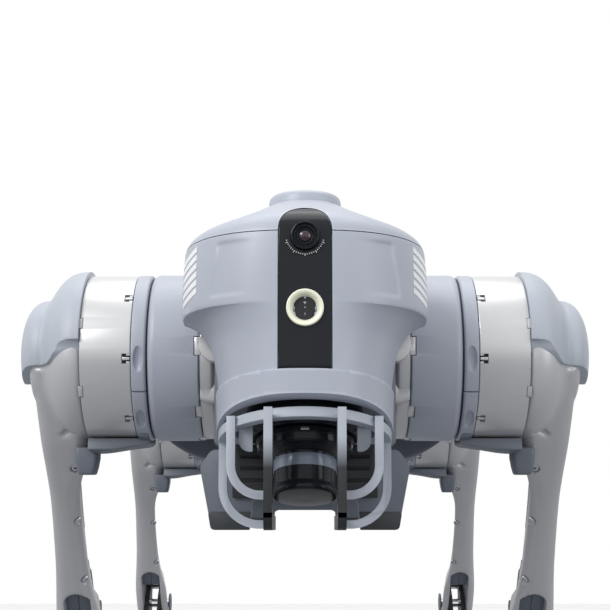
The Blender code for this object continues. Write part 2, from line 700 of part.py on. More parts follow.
def scanner(trunk):
    """The scanner's fixed base, and the rotor that spins below it."""
    frame = empty("scanner_axis", trunk, (0.0, COLLAR_Y, SCANNER_Z), -SCANNER_TILT)
    base = [(0.0107, 0.0), (0.0107, 0.0280), (0.0000, 0.0300), (-0.0030, 0.0285), (-0.0060, 0.0255)]
    base += [(-0.0060, 0.0)]
    node("scanner_base", turned(base, axis="Z", segments=28), gloss_black, frame)
    rotor = [(-0.0065, 0.0), (-0.0065, 0.0240), (-0.0135, 0.0235), (-0.0160, 0.0152), (-0.0330, 0.0148)]
    rotor += [(-0.0370, 0.0185), (-0.0392, 0.0185), (-0.0392, 0.0)]
    node("scanner_rotor", turned(rotor, axis="Z", segments=24), gloss_black, frame)


def hoop(y, half_width, bottom, radius, top):
    """A flat U-shaped hoop across the robot."""
    thick = 0.0041

    def side(half, floor, corner):
        left = [(-half, top)] + arc((-half + corner, floor + corner), corner, 180, 270, 6)
        return left + [(-x, z) for x, z in reversed(left)]

    outer = side(half_width, bottom, radius)
    inner = side(half_width - thick, bottom + thick, radius - thick)
    return outline(outer + inner[::-1], "XZ", y - 0.002, y + 0.002)


def scanner_guard(trunk):
    """The cage around the scanner: a half ring, two upright bars and two hoops."""
    band = turned([(0.0, 0.0372), (0.0, 0.0424), (0.0050, 0.0424), (0.0050, 0.0372)], axis="Z")
    rim_drop = 0.0090
    tilt = Matrix.Rotation(-COLLAR_RIM[1], 4, "X")
    centre_z = COLLAR_RIM[0] - (COLLAR_Y - GUARD_FRONT) * math.tan(COLLAR_RIM[1]) - rim_drop
    band.data.transform(Matrix.Translation((0.0, COLLAR_Y, centre_z)) @ tilt)
    minus(band, box((-0.1, COLLAR_Y + 0.0060, -0.1), (0.1, 0.0, 0.1)))
    floor = PAD_BOTTOM - 0.0003
    bend = 0.006
    bar = [(GUARD_FRONT, -0.0400), (GUARD_FRONT, -0.0905)]
    bar += arc((GUARD_FRONT + bend, floor + bend), bend, 180, 270, 4)
    rear = -BULKHEAD_END + 0.0007
    bar += [(rear, floor), (rear, floor + 0.0070), (-0.3165, floor + 0.0070), (-0.3165, -0.0480)]
    for side in (-1, 1):
        low, high = sorted((side * GUARD_BAR_X[0], side * GUARD_BAR_X[1]))
        union(band, outline(bar, "YZ", low, high))
    hoops = union(hoop(-0.3145, 0.0368, -0.0820, 0.0160, -0.0430),
                  hoop(COLLAR_Y, 0.0420, PAD_BOTTOM + 0.0004, 0.0200, -0.0500))
    between = GUARD_BAR_X[0] + 0.0010
    union(band, minus(hoops, box((-between, -0.36, -0.2), (between, -0.25, 0.0))))
    node("scanner_guard", band, blue_grey, trunk)


# ---------------------------------------------------------------- the whole robot
clear_scene()
parts = new_collection(PARTS)

silver = material("satin_silver", (0.52, 0.53, 0.54), 0.38, 0.35)
blue_grey = material("blue_grey_plastic", (0.36, 0.41, 0.47), 0.42)
dark_blue = material("dark_blue_grey_plastic", (0.115, 0.135, 0.17), 0.5)
dark_grey = material("dark_grey_plastic", (0.06, 0.065, 0.075), 0.5)
black = material("black_painted_metal", (0.02, 0.021, 0.024), 0.4)
gloss_black = material("gloss_black", (0.008, 0.008, 0.010), 0.12)
cream = material("cream_lens", (0.82, 0.80, 0.66), 0.2)
steel = material("polished_steel", (0.55, 0.56, 0.58), 0.22, 1.0)
rubber = material("black_rubber", (0.018, 0.018, 0.019), 0.85)

robot = empty("robot", None, (0.0, BODY_Y, HIP_Z))
trunk_frame(robot)
top_cover(robot)
belly_cover(robot)
battery(robot)
power_button(robot)
rear_cover(robot)
head(robot)
camera_lens(robot)
headlight(robot)
collar(robot)
scanner(robot)
scanner_guard(robot)

leg_set = leg_patterns()
for leg_prefix, leg_side, leg_end in (("fl", 1, -1), ("fr", -1, -1), ("rl", 1, 1), ("rr", -1, 1)):
    leg(leg_prefix, leg_side, leg_end, leg_set, robot)
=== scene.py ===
"""The looks of the quadruped robot dog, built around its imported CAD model.

Units are metres, +Z is up, the robot looks along -Y and its left side is +X. Trunk pieces are drawn around
the point between the four hips. Leg pieces are drawn for the left side around the hip pitch axis or the knee
axis, with X from the middle of the robot, and are mirrored for the right side.
"""

import json
import math

import bmesh
import bpy
from mathutils import Matrix, Vector


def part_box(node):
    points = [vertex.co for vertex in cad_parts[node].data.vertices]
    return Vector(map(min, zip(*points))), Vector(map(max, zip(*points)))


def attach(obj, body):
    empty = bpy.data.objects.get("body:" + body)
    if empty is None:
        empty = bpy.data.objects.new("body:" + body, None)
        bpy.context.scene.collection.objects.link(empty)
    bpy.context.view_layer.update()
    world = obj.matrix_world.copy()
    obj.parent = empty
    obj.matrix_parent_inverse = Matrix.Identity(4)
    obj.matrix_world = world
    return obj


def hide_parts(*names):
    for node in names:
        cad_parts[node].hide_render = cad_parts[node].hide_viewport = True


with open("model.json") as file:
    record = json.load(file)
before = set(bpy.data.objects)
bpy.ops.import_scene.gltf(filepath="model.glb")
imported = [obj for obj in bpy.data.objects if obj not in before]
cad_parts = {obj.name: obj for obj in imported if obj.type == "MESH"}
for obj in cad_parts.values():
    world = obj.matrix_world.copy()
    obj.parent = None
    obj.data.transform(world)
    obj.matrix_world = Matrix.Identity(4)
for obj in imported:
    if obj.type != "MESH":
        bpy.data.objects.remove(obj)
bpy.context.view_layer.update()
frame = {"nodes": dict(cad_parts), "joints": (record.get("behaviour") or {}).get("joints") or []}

SHARP = math.radians(32)


# ---------------------------------------------------------------- places from the frame
def joint_at(name):
    return Vector(next(j["pos_m"] for j in frame["joints"] if j["name"] == name))


FRONT_HIP = joint_at("front_left_pitch")
REAR_HIP = joint_at("rear_left_pitch")
FRONT_KNEE = joint_at("front_left_knee")
HIP_Y = (REAR_HIP.y - FRONT_HIP.y) / 2
HIP_Z = FRONT_HIP.z
LEG_X = FRONT_HIP.x
ROLL_X = joint_at("front_left_roll").x
THIGH = (FRONT_KNEE - FRONT_HIP).length
LEAN = math.atan2(FRONT_KNEE.y - FRONT_HIP.y, FRONT_HIP.z - FRONT_KNEE.z)
TRUNK = Matrix.Translation((0.0, (FRONT_HIP.y + REAR_HIP.y) / 2, HIP_Z))
FOOT_LOW, FOOT_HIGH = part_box("fl_foot")
FOOT_MIDDLE = (FOOT_LOW + FOOT_HIGH) / 2
SHIN = (FOOT_MIDDLE - FRONT_KNEE).length
SHIN_LEAN = math.atan2(FOOT_MIDDLE.y - FRONT_KNEE.y, FRONT_KNEE.z - FOOT_MIDDLE.z)
SCANNER_AXIS = next(Vector(j["axis"]) for j in frame["joints"] if j["name"] == "scanner_spin")
SCANNER_TILT = math.atan2(SCANNER_AXIS.y, SCANNER_AXIS.z)
SCANNER = Matrix.Translation(joint_at("scanner_spin")) @ Matrix.Rotation(-SCANNER_TILT, 4, "X")


# ---------------------------------------------------------------- finishes
class Nodes:
    """A short way to make and link shader nodes."""

    def __init__(self, finish):
        finish.use_nodes = True
        self.tree = finish.node_tree
        self.shader = self.tree.nodes["Principled BSDF"]
        self.place = self.add("ShaderNodeTexCoord").outputs["Object"]

    def add(self, kind, **settings):
        made = self.tree.nodes.new(kind)
        for key, value in settings.items():
            setattr(made, key, value)
        return made

    def link(self, source, target):
        self.tree.links.new(source, target)

    def noise(self, scale, detail=3.0, roughness=0.5, stretch=None):
        made = self.add("ShaderNodeTexNoise")
        made.inputs["Scale"].default_value = scale
        made.inputs["Detail"].default_value = detail
        made.inputs["Roughness"].default_value = roughness
        place = self.place
        if stretch:
            mapping = self.add("ShaderNodeMapping")
            mapping.inputs["Scale"].default_value = stretch
            self.link(place, mapping.inputs["Vector"])
            place = mapping.outputs["Vector"]
        self.link(place, made.inputs["Vector"])
        return made.outputs["Fac"]

    def spread(self, value, low, high, start=0.3, end=0.7):
        made = self.add("ShaderNodeMapRange")
        made.inputs["From Min"].default_value = start
        made.inputs["From Max"].default_value = end
        made.inputs["To Min"].default_value = low
        made.inputs["To Max"].default_value = high
        self.link(value, made.inputs["Value"])
        return made.outputs["Result"]

    def mix(self, share, first, second):
        made = self.add("ShaderNodeMix", data_type="RGBA")
        self.link(share, made.inputs["Factor"])
        for slot, colour in ((6, first), (7, second)):
            if isinstance(colour, tuple):
                made.inputs[slot].default_value = (*colour, 1.0)
            else:
                self.link(colour, made.inputs[slot])
        return made.outputs[2]

    def bumps(self, layers):
        """Bump nodes in a row, each a (height, strength, distance)."""
        normal = None
        for height, strength, distance in layers:
            bump = self.add("ShaderNodeBump")
            bump.inputs["Strength"].default_value = strength
            bump.inputs["Distance"].default_value = distance
            self.link(height, bump.inputs["Height"])
            if normal:
                self.link(normal, bump.inputs["Normal"])
            normal = bump.outputs["Normal"]
        self.link(normal, self.shader.inputs["Normal"])


def shade(colour, factor):
    return tuple(min(1.0, c * factor) for c in colour)


def finish_of(name, colour, roughness, metallic=0.0, coat=0.0, specular=0.5, grain=2200.0, grain_depth=0.12,
              spread=0.06, wear=1.35, streaks=None):
    """A finish with fine grain, uneven gloss, slow colour changes and paler worn edges."""
    finish = bpy.data.materials.new(name)
    nodes = Nodes(finish)
    slow = nodes.spread(nodes.noise(9.0, 4.0), 0.0, 1.0)
    body = nodes.mix(slow, shade(colour, 0.965), shade(colour, 1.035))
    specks = nodes.spread(nodes.noise(1500.0, 2.0), 0.0, 0.30, 0.58, 0.75)
    body = nodes.mix(specks, body, shade(colour, 0.90))
    edges = nodes.add("ShaderNodeNewGeometry").outputs["Pointiness"]
    worn = nodes.spread(edges, 0.0, 0.55, 0.53, 0.62)
    body = nodes.mix(worn, body, shade(colour, wear))
    nodes.link(body, nodes.shader.inputs["Base Color"])
    patches = nodes.noise(45.0, 5.0, 0.6)
    nodes.link(nodes.spread(patches, roughness - spread, roughness + spread),
               nodes.shader.inputs["Roughness"])
    nodes.shader.inputs["Metallic"].default_value = metallic
    nodes.shader.inputs["Specular IOR Level"].default_value = specular
    if coat:
        nodes.shader.inputs["Coat Weight"].default_value = coat
        nodes.shader.inputs["Coat Roughness"].default_value = 0.12
    layers = [(nodes.noise(grain, 2.0), grain_depth, 0.00006), (nodes.noise(110.0, 2.0), 0.03, 0.0001)]
    if streaks:
        layers.append((nodes.noise(240.0, 2.0, 0.5, streaks), 0.10, 0.0001))
    nodes.bumps(layers)
    return finish


def glowing(name, colour, strength):
    finish = finish_of(name, colour, 0.3, grain_depth=0.02)
    shader = finish.node_tree.nodes["Principled BSDF"]
    shader.inputs["Emission Color"].default_value = (*colour, 1.0)
    shader.inputs["Emission Strength"].default_value = strength
    return finish


def painted_shade_below(name, upper, lower, high, low):
    """A moulded finish with painted shade: it turns from the upper colour to the lower, darker one between
    two heights.
    """
    finish = finish_of(name, upper, 0.42, grain_depth=0.18, specular=0.35)
    nodes = Nodes(finish)
    split = nodes.add("ShaderNodeSeparateXYZ")
    nodes.link(nodes.place, split.inputs["Vector"])
    share = nodes.spread(split.outputs["Z"], 1.0, 0.0, low, high)
    grain = nodes.spread(nodes.noise(30.0, 3.0), 0.94, 1.0)
    product = nodes.add("ShaderNodeMath", operation="MULTIPLY")
    nodes.link(share, product.inputs[0])
    nodes.link(grain, product.inputs[1])
    nodes.link(nodes.mix(product.outputs[0], upper, lower), nodes.shader.inputs["Base Color"])
    return finish


BLUE_GREY = finish_of("blue_grey_moulded", (0.395, 0.425, 0.490), 0.38, specular=0.45)
GUARD_BLUE = finish_of("blue_grey_guard", (0.395, 0.430, 0.485), 0.42, grain_depth=0.18, specular=0.45)
SLATE = finish_of("slate_moulded", (0.135, 0.152, 0.185), 0.46, grain_depth=0.2)
DARK = finish_of("dark_moulded", (0.040, 0.044, 0.052), 0.5, grain_depth=0.22)
# Painted shade: near black for the gaps, seams, hollows and the lens pupil, where shade falls.
SEAM_SHADOW = finish_of("seam_shadow", (0.010, 0.011, 0.014), 0.6)
SILVER = finish_of("satin_silver_paint", (0.640, 0.642, 0.650), 0.30, metallic=0.55, grain=3000.0,
                   grain_depth=0.06, spread=0.03, wear=1.15)
CAST_SILVER = finish_of("cast_silver_paint", (0.560, 0.565, 0.580), 0.38, metallic=0.35, grain=2600.0,
                        grain_depth=0.12, spread=0.04, wear=1.15)
STEEL = finish_of("polished_steel", (0.62, 0.62, 0.64), 0.17, metallic=1.0, grain_depth=0.03,
                  streaks=(1.0, 1.0, 0.05))
GLOSS = finish_of("gloss_black", (0.012, 0.014, 0.018), 0.16, specular=0.22, grain_depth=0.01, spread=0.02)
PAINT = finish_of("black_paint", (0.020, 0.021, 0.024), 0.34, grain_depth=0.15)
RUBBER = finish_of("black_rubber", (0.018, 0.018, 0.019), 0.82, specular=0.3, grain=900.0, grain_depth=0.35)
WHITE = finish_of("white_print", (0.80, 0.81, 0.82), 0.45, wear=1.0)
CREAM = finish_of("cream_reflector", (0.86, 0.87, 0.70), 0.16, coat=0.4, grain_depth=0.02)
CHROME = finish_of("lamp_reflector", (0.42, 0.43, 0.42), 0.14, metallic=0.9, grain_depth=0.02)
LED = glowing("lamp_led", (0.92, 0.86, 0.22), 0.55)
LENS = finish_of("lens_glass", (0.030, 0.012, 0.022), 0.06, coat=0.5, grain_depth=0.005, spread=0.02)
# Painted reflection: a pale blue-grey band that stands in for a reflection on the gloss black scanner spool.
PAINTED_REFLECTION_BAND = finish_of("scanner_painted_reflection", (0.16, 0.20, 0.26), 0.22, coat=0.4, grain_depth=0.02)
# Painted shade: the blue-grey bars turn near black lower down, where they run under the body.
CAGE_BAR_PAINTED_SHADE = painted_shade_below("cage_bar", (0.395, 0.430, 0.485), (0.012, 0.013, 0.014), HIP_Z - 0.054,
                          HIP_Z - 0.068)


# ---------------------------------------------------------------- shape helpers
def linked(name, mesh):
    thing = bpy.data.objects.new(name, mesh)
    bpy.context.scene.collection.objects.link(thing)
    return thing


def from_bmesh(shape, name="shape"):
    bmesh.ops.recalc_face_normals(shape, faces=shape.faces)
    mesh = bpy.data.meshes.new(name)
    shape.to_mesh(mesh)
    shape.free()
    return linked(name, mesh)


def bake(thing):
    """Makes the object's modifiers part of its mesh."""
    bpy.context.view_layer.update()
    evaluated = thing.evaluated_get(bpy.context.evaluated_depsgraph_get())
    mesh = bpy.data.meshes.new_from_object(evaluated)
    thing.modifiers.clear()
    thing.data = mesh
    return thing


def moved(thing, matrix):
    thing.data.transform(matrix)
    return thing


def at(x, y, z):
    return Matrix.Translation((x, y, z))


def turn(degrees, axis):
    return Matrix.Rotation(math.radians(degrees), 4, axis)


def fillet(points, radius, steps=4):
    """A closed outline with its corners rounded, by at most the given radius."""
    result = []
    count = len(points)
    for i in range(count):
        before, here, after = (Vector(points[j % count]) for j in (i - 1, i, i + 1))
        back, ahead = before - here, after - here
        reach = min(radius, 0.45 * back.length, 0.45 * ahead.length)
        start = here + back.normalized() * reach
        end = here + ahead.normalized() * reach
        straight = abs(back.normalized().dot(ahead.normalized()) + 1.0) < 0.002
        if straight or reach < 0.00002:
            result.append(tuple(here))
            continue
        for k in range(steps + 1):
            t = k / steps
            result.append(tuple(start * (1 - t) ** 2 + here * 2 * t * (1 - t) + end * t ** 2))
    return result


def curve_through(points, steps=6):
    """A smooth open curve through points of any dimension (Catmull-Rom)."""
    ends = [points[0]] + list(points) + [points[-1]]
    result = []
    for i in range(1, len(ends) - 2):
        p0, p1, p2, p3 = (Vector(ends[j]) for j in (i - 1, i, i + 1, i + 2))
        for k in range(steps):
            t = k / steps
            result.append(tuple(0.5 * (2 * p1 + (p2 - p0) * t + (2 * p0 - 5 * p1 + 4 * p2 - p3) * t ** 2
                                       + (3 * p1 - p0 - 3 * p2 + p3) * t ** 3)))
    result.append(tuple(points[-1]))
    return result


def arc(middle, radius, start, end, steps=16):
    angles = [math.radians(start + (end - start) * i / steps) for i in range(steps + 1)]
    return [(middle[0] + radius * math.cos(a), middle[1] + radius * math.sin(a)) for a in angles]


TURNS = {"X": turn(90, "Y"), "Y": turn(-90, "X"), "Z": Matrix.Identity(4)}


def turned(profile, axis="X", steps=128, soft=0.0006):
    """A solid of revolution: (distance along the axis, radius) points, closed along the axis or as a ring."""
    on_axis = profile[0][1] == 0 and profile[-1][1] == 0
    points = fillet(profile, soft, 3)
    if on_axis:
        points = [profile[0]] + [p for p in points if p[1] > 0.00001] + [profile[-1]]
    shape = bmesh.new()
    rows = []
    for along, radius in points:
        if radius < 0.00001:
            rows.append([shape.verts.new((0.0, 0.0, along))] * steps)
            continue
        angles = [2 * math.pi * i / steps for i in range(steps)]
        rows.append([shape.verts.new((radius * math.cos(a), radius * math.sin(a), along)) for a in angles])
    pairs = list(zip(rows, rows[1:]))
    if not on_axis:
        pairs.append((rows[-1], rows[0]))
    for lower, upper in pairs:
        for i in range(steps):
            j = (i + 1) % steps
            corners = []
            for corner in (lower[i], lower[j], upper[j], upper[i]):
                if corner not in corners:
                    corners.append(corner)
            if len(corners) > 2:
                shape.faces.new(corners)
    shape.transform(TURNS[axis])
    return from_bmesh(shape)


PLANES = {
    "YZ": Matrix(((0, 0, 1, 0), (1, 0, 0, 0), (0, 1, 0, 0), (0, 0, 0, 1))),
    "XZ": Matrix(((1, 0, 0, 0), (0, 0, -1, 0), (0, 1, 0, 0), (0, 0, 0, 1))),
    "XY": Matrix.Identity(4),
}


def prism(points, plane, low, high):
    """A flat outline made solid between low and high along the third axis."""
    if plane == "XZ":
        low, high = -high, -low
    shape = bmesh.new()
    base = shape.faces.new([shape.verts.new((a, b, low)) for a, b in points])
    grown = bmesh.ops.extrude_face_region(shape, geom=[base])
    tops = [g for g in grown["geom"] if isinstance(g, bmesh.types.BMVert)]
    bmesh.ops.translate(shape, verts=tops, vec=(0, 0, high - low))
    shape.transform(PLANES[plane])
    return from_bmesh(shape)


def block(low, high, edge=0.0, segments=3):
    size = Vector(high) - Vector(low)
    middle = (Vector(high) + Vector(low)) / 2
    shape = bmesh.new()
    bmesh.ops.create_cube(shape, size=1.0, matrix=Matrix.Translation(middle) @ Matrix.Diagonal((*size, 1.0)))
    thing = from_bmesh(shape)
    return rounded(thing, edge, segments) if edge else thing


def rod(axis, radius, low, high, across=(0.0, 0.0), steps=48, soft=0.0003):
    """A round bar along X, Y or Z, with across giving the other two coordinates in order."""
    thing = turned([(low, 0.0), (low, radius), (high, radius), (high, 0.0)], axis, steps, soft)
    place = {"X": (0, *across), "Y": (across[0], 0, across[1]), "Z": (*across, 0)}[axis]
    return moved(thing, at(*place))


def rounded(thing, width, segments=3, angle=35):
    edge = thing.modifiers.new("edge", "BEVEL")
    edge.width = width
    edge.segments = segments
    edge.limit_method = "ANGLE"
    edge.angle_limit = math.radians(angle)
    edge.use_clamp_overlap = True
    return bake(thing)


def combine(thing, other, operation):
    cut = thing.modifiers.new("cut", "BOOLEAN")
    cut.operation = operation
    cut.object = other
    bake(thing)
    bpy.data.objects.remove(other)
    return thing


def union(first, *others):
    for other in others:
        combine(first, other, "UNION")
    return first


def minus(first, *others):
    for other in others:
        combine(first, other, "DIFFERENCE")
    return first


def common(first, *others):
    for other in others:
        combine(first, other, "INTERSECT")
    return first


def joined(*things):
    """One object of several separate solids."""
    first, others = things[0], things[1:]
    shape = bmesh.new()
    for thing in (first, *others):
        shape.from_mesh(thing.data)
    shape.to_mesh(first.data)
    shape.free()
    for thing in others:
        bpy.data.objects.remove(thing)
    return first


def cast(thing, voxel=0.001, passes=5):
    """Softens every edge of a solid the way a casting has them."""
    remesh = thing.modifiers.new("voxels", "REMESH")
    remesh.mode = "VOXEL"
    remesh.voxel_size = voxel
    smooth = thing.modifiers.new("smooth", "SMOOTH")
    smooth.factor = 0.5
    smooth.iterations = passes
    return bake(thing)


def loft(rings):
    """A closed solid through a stack of rings."""
    shape = bmesh.new()
    rows = [[shape.verts.new(point) for point in ring] for ring in rings]
    for lower, upper in zip(rows, rows[1:]):
        for i in range(len(lower)):
            j = (i + 1) % len(lower)
            shape.faces.new((lower[i], lower[j], upper[j], upper[i]))
    shape.faces.new(rows[0])
    shape.faces.new(rows[-1])
    return from_bmesh(shape)


def screw_head(radius=0.0022, height=0.0014):
    """A socket head screw standing on the XY plane, with its head up."""
    head = turned([(0.0, 0.0), (0.0, radius), (height, radius), (height, 0.0)], "Z", 32, radius * 0.25)
    socket = turned([(height * 0.35, 0.0), (height * 0.35, radius * 0.55), (height * 2, radius * 0.55),
                     (height * 2, 0.0)], "Z", 6, 0.00002)
    return minus(head, socket)


def aimed(direction, point):
    """A matrix that turns +Z into a direction and moves the origin to a point."""
    return Matrix.Translation(point) @ Vector(direction).to_track_quat("Z", "Y").to_matrix().to_4x4()


def screws(places, radius=0.0022, height=0.0014):
    """Screw heads at (point, direction) places, as one mesh."""
    pattern = screw_head(radius, height)
    copies = [linked("screw", pattern.data.copy()) for _ in places]
    for copy, (point, direction) in zip(copies, places):
        moved(copy, aimed(direction, point))
    bpy.data.objects.remove(pattern)
    return joined(*copies)


# ---------------------------------------------------------------- pieces
def piece(name, thing, finish, body, replaces=(), matrix=None, smooth=SHARP):
    """Names a finished mesh, gives it its finish, and puts it on its body."""
    if matrix:
        thing.data.transform(matrix)
    thing.name = name
    thing.data.name = name
    thing.data.materials.clear()
    thing.data.materials.append(finish)
    thing.data.shade_smooth()
    thing.data.set_sharp_from_angle(angle=smooth)
    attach(thing, body)
    if replaces:
        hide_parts(*replaces)
    return thing


def trunk_piece(name, thing, finish, slot, *replaces, body="trunk", matrix=TRUNK):
    return piece(name, thing, finish, body, replaces, matrix)


def mirrored(mesh):
    copy = mesh.copy()
    copy.transform(Matrix.Scale(-1, 4, (1, 0, 0)))
    copy.flip_normals()
    return copy


# ---------------------------------------------------------------- legs
HOUSING_X = (0.0566, 0.0841)
CLAMP_X = (0.0849, 0.0926)
BAND_X = (0.0929, 0.1200)
SHELL_X = 0.1203
DRUM = 0.0468                 # radius of the hip housing
BAND = 0.0462
CLIP_STEP = 45.0              # degrees between the clips around the calf motor
CLIP_START = -7.5             # the clip nearest to straight ahead, above the horizontal
CLIP_ANGLES = [CLIP_START + CLIP_STEP * i for i in range(8)]
TAB_ANGLES = (16.7, -30.0, 106.7, 152.0, 196.7, 241.0)


def drum_block(angle, x_low, x_high, height, radius_low, radius_high, edge=0.0003):
    """A small block on a drum's surface, height along the circumference."""
    thing = block((x_low, -radius_high, -height / 2), (x_high, -radius_low, height / 2), edge, 2)
    return moved(thing, turn(-angle, "X"))


def hip_casting():
    """The silver casting between trunk and hip housing, with the teeth that key into the housing."""
    ring = turned([(0.0470, 0.0), (0.0470, 0.0430), (0.0496, 0.0455), (0.0564, 0.0457), (0.0564, 0.0)],
                  soft=0.0012)
    hub = rod("Y", 0.0292, -0.0400, 0.0400, across=(ROLL_X, 0.0), steps=96, soft=0.003)
    common(hub, block((0.0, -0.0480, -0.0400), (0.0560, 0.0480, 0.0400)))
    journals = rod("Y", 0.0090, -0.0578, 0.0578, across=(ROLL_X, 0.0))
    union(ring, hub, journals)
    teeth = [drum_block(angle, 0.0555, 0.0589, height, 0.0400, 0.0459) for angle, height in HOUSING_NOTCHES]
    return union(ring, *teeth)


HOUSING_NOTCHES = ((1.0, 0.0098), (-46.0, 0.0076), (93.0, 0.0102), (183.0, 0.0102), (137.0, 0.0076),
                   (273.0, 0.0102))


def hip_housing():
    inner, outer = HOUSING_X
    profile = [(inner, 0.012), (inner, 0.0460), (0.0572, 0.0466), (0.0815, DRUM), (outer, 0.0452),
               (outer, 0.012)]
    drum = turned(profile, soft=0.0012)
    for angle, height in HOUSING_NOTCHES:
        minus(drum, drum_block(angle, 0.0540, 0.0592, height + 0.0007, 0.0380, 0.0500, 0.0))
    return rounded(drum, 0.00025, 2, 50)


def rotation_gap_shade():
    """A near black ring of painted shade in the gap between the hip housing and the clamp ring."""
    return turned([(0.0838, 0.012), (0.0838, 0.0446), (0.0852, 0.0446), (0.0852, 0.012)], soft=0.0001)


OVALS = (CLIP_START, CLIP_START - CLIP_STEP, CLIP_START + 3 * CLIP_STEP, CLIP_START + 4 * CLIP_STEP)
SPLIT_ANGLE = -30.0


def clamp_ring():
    """The split clamp ring, with its oval recesses."""
    band = turned([(CLAMP_X[0], 0.012), (CLAMP_X[0], 0.0456), (CLAMP_X[0] + 0.0008, DRUM - 0.0002),
                   (CLAMP_X[1], DRUM - 0.0002), (CLAMP_X[1], 0.012)], soft=0.0007)
    middle = (CLAMP_X[0] + CLAMP_X[1]) / 2
    for angle in OVALS:
        bowl = bmesh.new()
        bmesh.ops.create_uvsphere(bowl, u_segments=40, v_segments=20, radius=1.0)
        bowl.transform(turn(-angle, "X") @ at(middle, -DRUM - 0.0002, 0.0)
                       @ Matrix.Diagonal((0.0027, 0.0026, 0.0073, 1)))
        minus(band, from_bmesh(bowl))
    for angle in (SPLIT_ANGLE, SPLIT_ANGLE + 180):
        minus(band, drum_block(angle, 0.0840, 0.0935, 0.0009, 0.0350, 0.0500, 0.0))
    return rounded(band, 0.00025, 2, 40)


DOWN = -90.0                  # straight down, as an angle in the YZ plane


def cable_tray():
    """The curved tray that carries the cable under the calf motor, with its rounded inner end."""
    outline = arc((0, 0), 0.0540, DOWN - 14, DOWN + 24, 20) + arc((0, 0), 0.0471, DOWN + 24, DOWN - 14, 20)
    tray = prism(fillet(outline, 0.0012, 3), "YZ", CLAMP_X[0] + 0.0011, 0.1200)
    side = [(0.0862, -0.0420), (0.0862, -0.0487), (0.1000, -0.0508), (0.1120, -0.0536), (0.1200, -0.0540),
            (0.1200, -0.0420)]
    common(tray, prism(fillet(side, 0.003, 4), "XZ", -0.05, 0.05))
    anchor = prism(arc((0, 0), 0.0480, DOWN - 20, DOWN + 20, 12) + arc((0, 0), 0.0400, DOWN + 20,
                                                                       DOWN - 20, 12),
                   "YZ", CLAMP_X[0] + 0.0015, CLAMP_X[1] - 0.0012)
    return joined(rounded(tray, 0.0005, 2), anchor)


BOOT_X = 0.1225


def cable_boot():
    """The connector boot that hangs between tray and thigh."""
    rings = []
    for z, grow in ((-0.0505, 0.0004), (-0.0560, 0.0004), (-0.0615, -0.0004), (-0.0655, -0.0014)):
        x_half, y_half = 0.0060 + grow, 0.0074 + grow
        corners = [(BOOT_X - x_half, -y_half), (BOOT_X + x_half, -y_half), (BOOT_X + x_half, y_half),
                   (BOOT_X - x_half, y_half)]
        rings.append([(x, y + 0.004, z) for x, y in fillet(corners, 0.0028, 6)])
    return rounded(loft(rings), 0.0009, 3)


def calf_motor():
    """The silver motor can, with windows for the clips and notches for the thigh's tabs."""
    can = turned([(BAND_X[0], 0.006), (BAND_X[0], BAND - 0.0003), (BAND_X[0] + 0.0005, BAND),
                  (BAND_X[1], BAND), (BAND_X[1], 0.006)], steps=160, soft=0.0004)
    for angle in CLIP_ANGLES:
        minus(can, drum_block(angle, 0.0920, 0.0975, 0.0054, BAND - 0.0016, 0.0500, 0.0))
    for angle in TAB_ANGLES:
        minus(can, drum_block(angle, 0.1184, 0.1230, 0.0064, BAND - 0.0012, 0.0500, 0.0))
    return can


def motor_clips():
    """The clips that lock the motor can to the clamp ring."""
    clips = []
    for angle in CLIP_ANGLES:
        clips.append(drum_block(angle, 0.0932, 0.0972, 0.0017, BAND - 0.0014, BAND - 0.0001))
        for side in (-1, 1):
            lug = block((0.0930, -BAND + 0.0004, -0.0006), (0.0950, -BAND + 0.0014, 0.0006), 0.0002, 2)
            clips.append(moved(lug, turn(-angle, "X") @ at(0, 0, side * 0.0021)))
    return joined(*clips)


def clip_window_shade():
    """Painted shade: near black floors in the clip windows."""
    return joined(*[drum_block(angle, 0.0928, 0.0974, 0.0052, BAND - 0.0022, BAND - 0.00145)
                    for angle in CLIP_ANGLES])


THIGH_ROWS = (
    # height, front and back edge (Y), inner and outer face (X)
    (0.0100, -0.0300, 0.0300, 0.1205, 0.1500), (-0.0300, -0.0300, 0.0330, 0.1205, 0.1502),
    (-0.0455, -0.0285, 0.0335, 0.1208, 0.1504), (-0.0580, -0.0262, 0.0330, 0.1240, 0.1505),
    (-0.0700, -0.0240, 0.0322, 0.1285, 0.1506), (-0.0840, -0.0212, 0.0316, 0.1318, 0.1510),
    (-0.1000, -0.0192, 0.0310, 0.1330, 0.1518), (-0.1200, -0.0177, 0.0304, 0.1334, 0.1530),
    (-0.1400, -0.0170, 0.0298, 0.1332, 0.1542), (-0.1560, -0.0165, 0.0295, 0.1324, 0.1556),
    (-0.1720, -0.0164, 0.0293, 0.1302, 0.1572), (-0.1860, -0.0166, 0.0293, 0.1280, 0.1582),
    (-0.2000, -0.0162, 0.0288, 0.1276, 0.1584), (-0.2130, -0.0150, 0.0275, 0.1276, 0.1584),
    (-0.2220, -0.0120, 0.0245, 0.1276, 0.1582), (-0.2300, -0.0070, 0.0190, 0.1280, 0.1578),
    (-0.2350, -0.0010, 0.0125, 0.1292, 0.1566),
)
BACK_TAPER = 0.22             # the inner face draws back towards the rear by this slope


def thigh_shank():
    """The thigh below the shoulder, with an inner face that draws back towards the rear."""
    rings = []
    for z, front, back, inner, outer in curve_through(THIGH_ROWS, 4):
        draw = min((back - front) * BACK_TAPER, 0.4 * (outer - inner))
        corners = [(inner, front), (outer, front), (outer - 0.3 * draw, back), (inner + draw, back)]
        ring = fillet(corners, 0.0085, 10)
        rings.append([(x, y, z) for x, y in ring])
    return loft(rings)


SCREW_PLACES = ((0.1318, -0.0240, -0.0590), (0.1348, -0.0175, -0.1036), (0.1352, -0.0150, -0.1510))
SCREW_AIM = Vector((-0.45, -1.0, 0.0)).normalized()


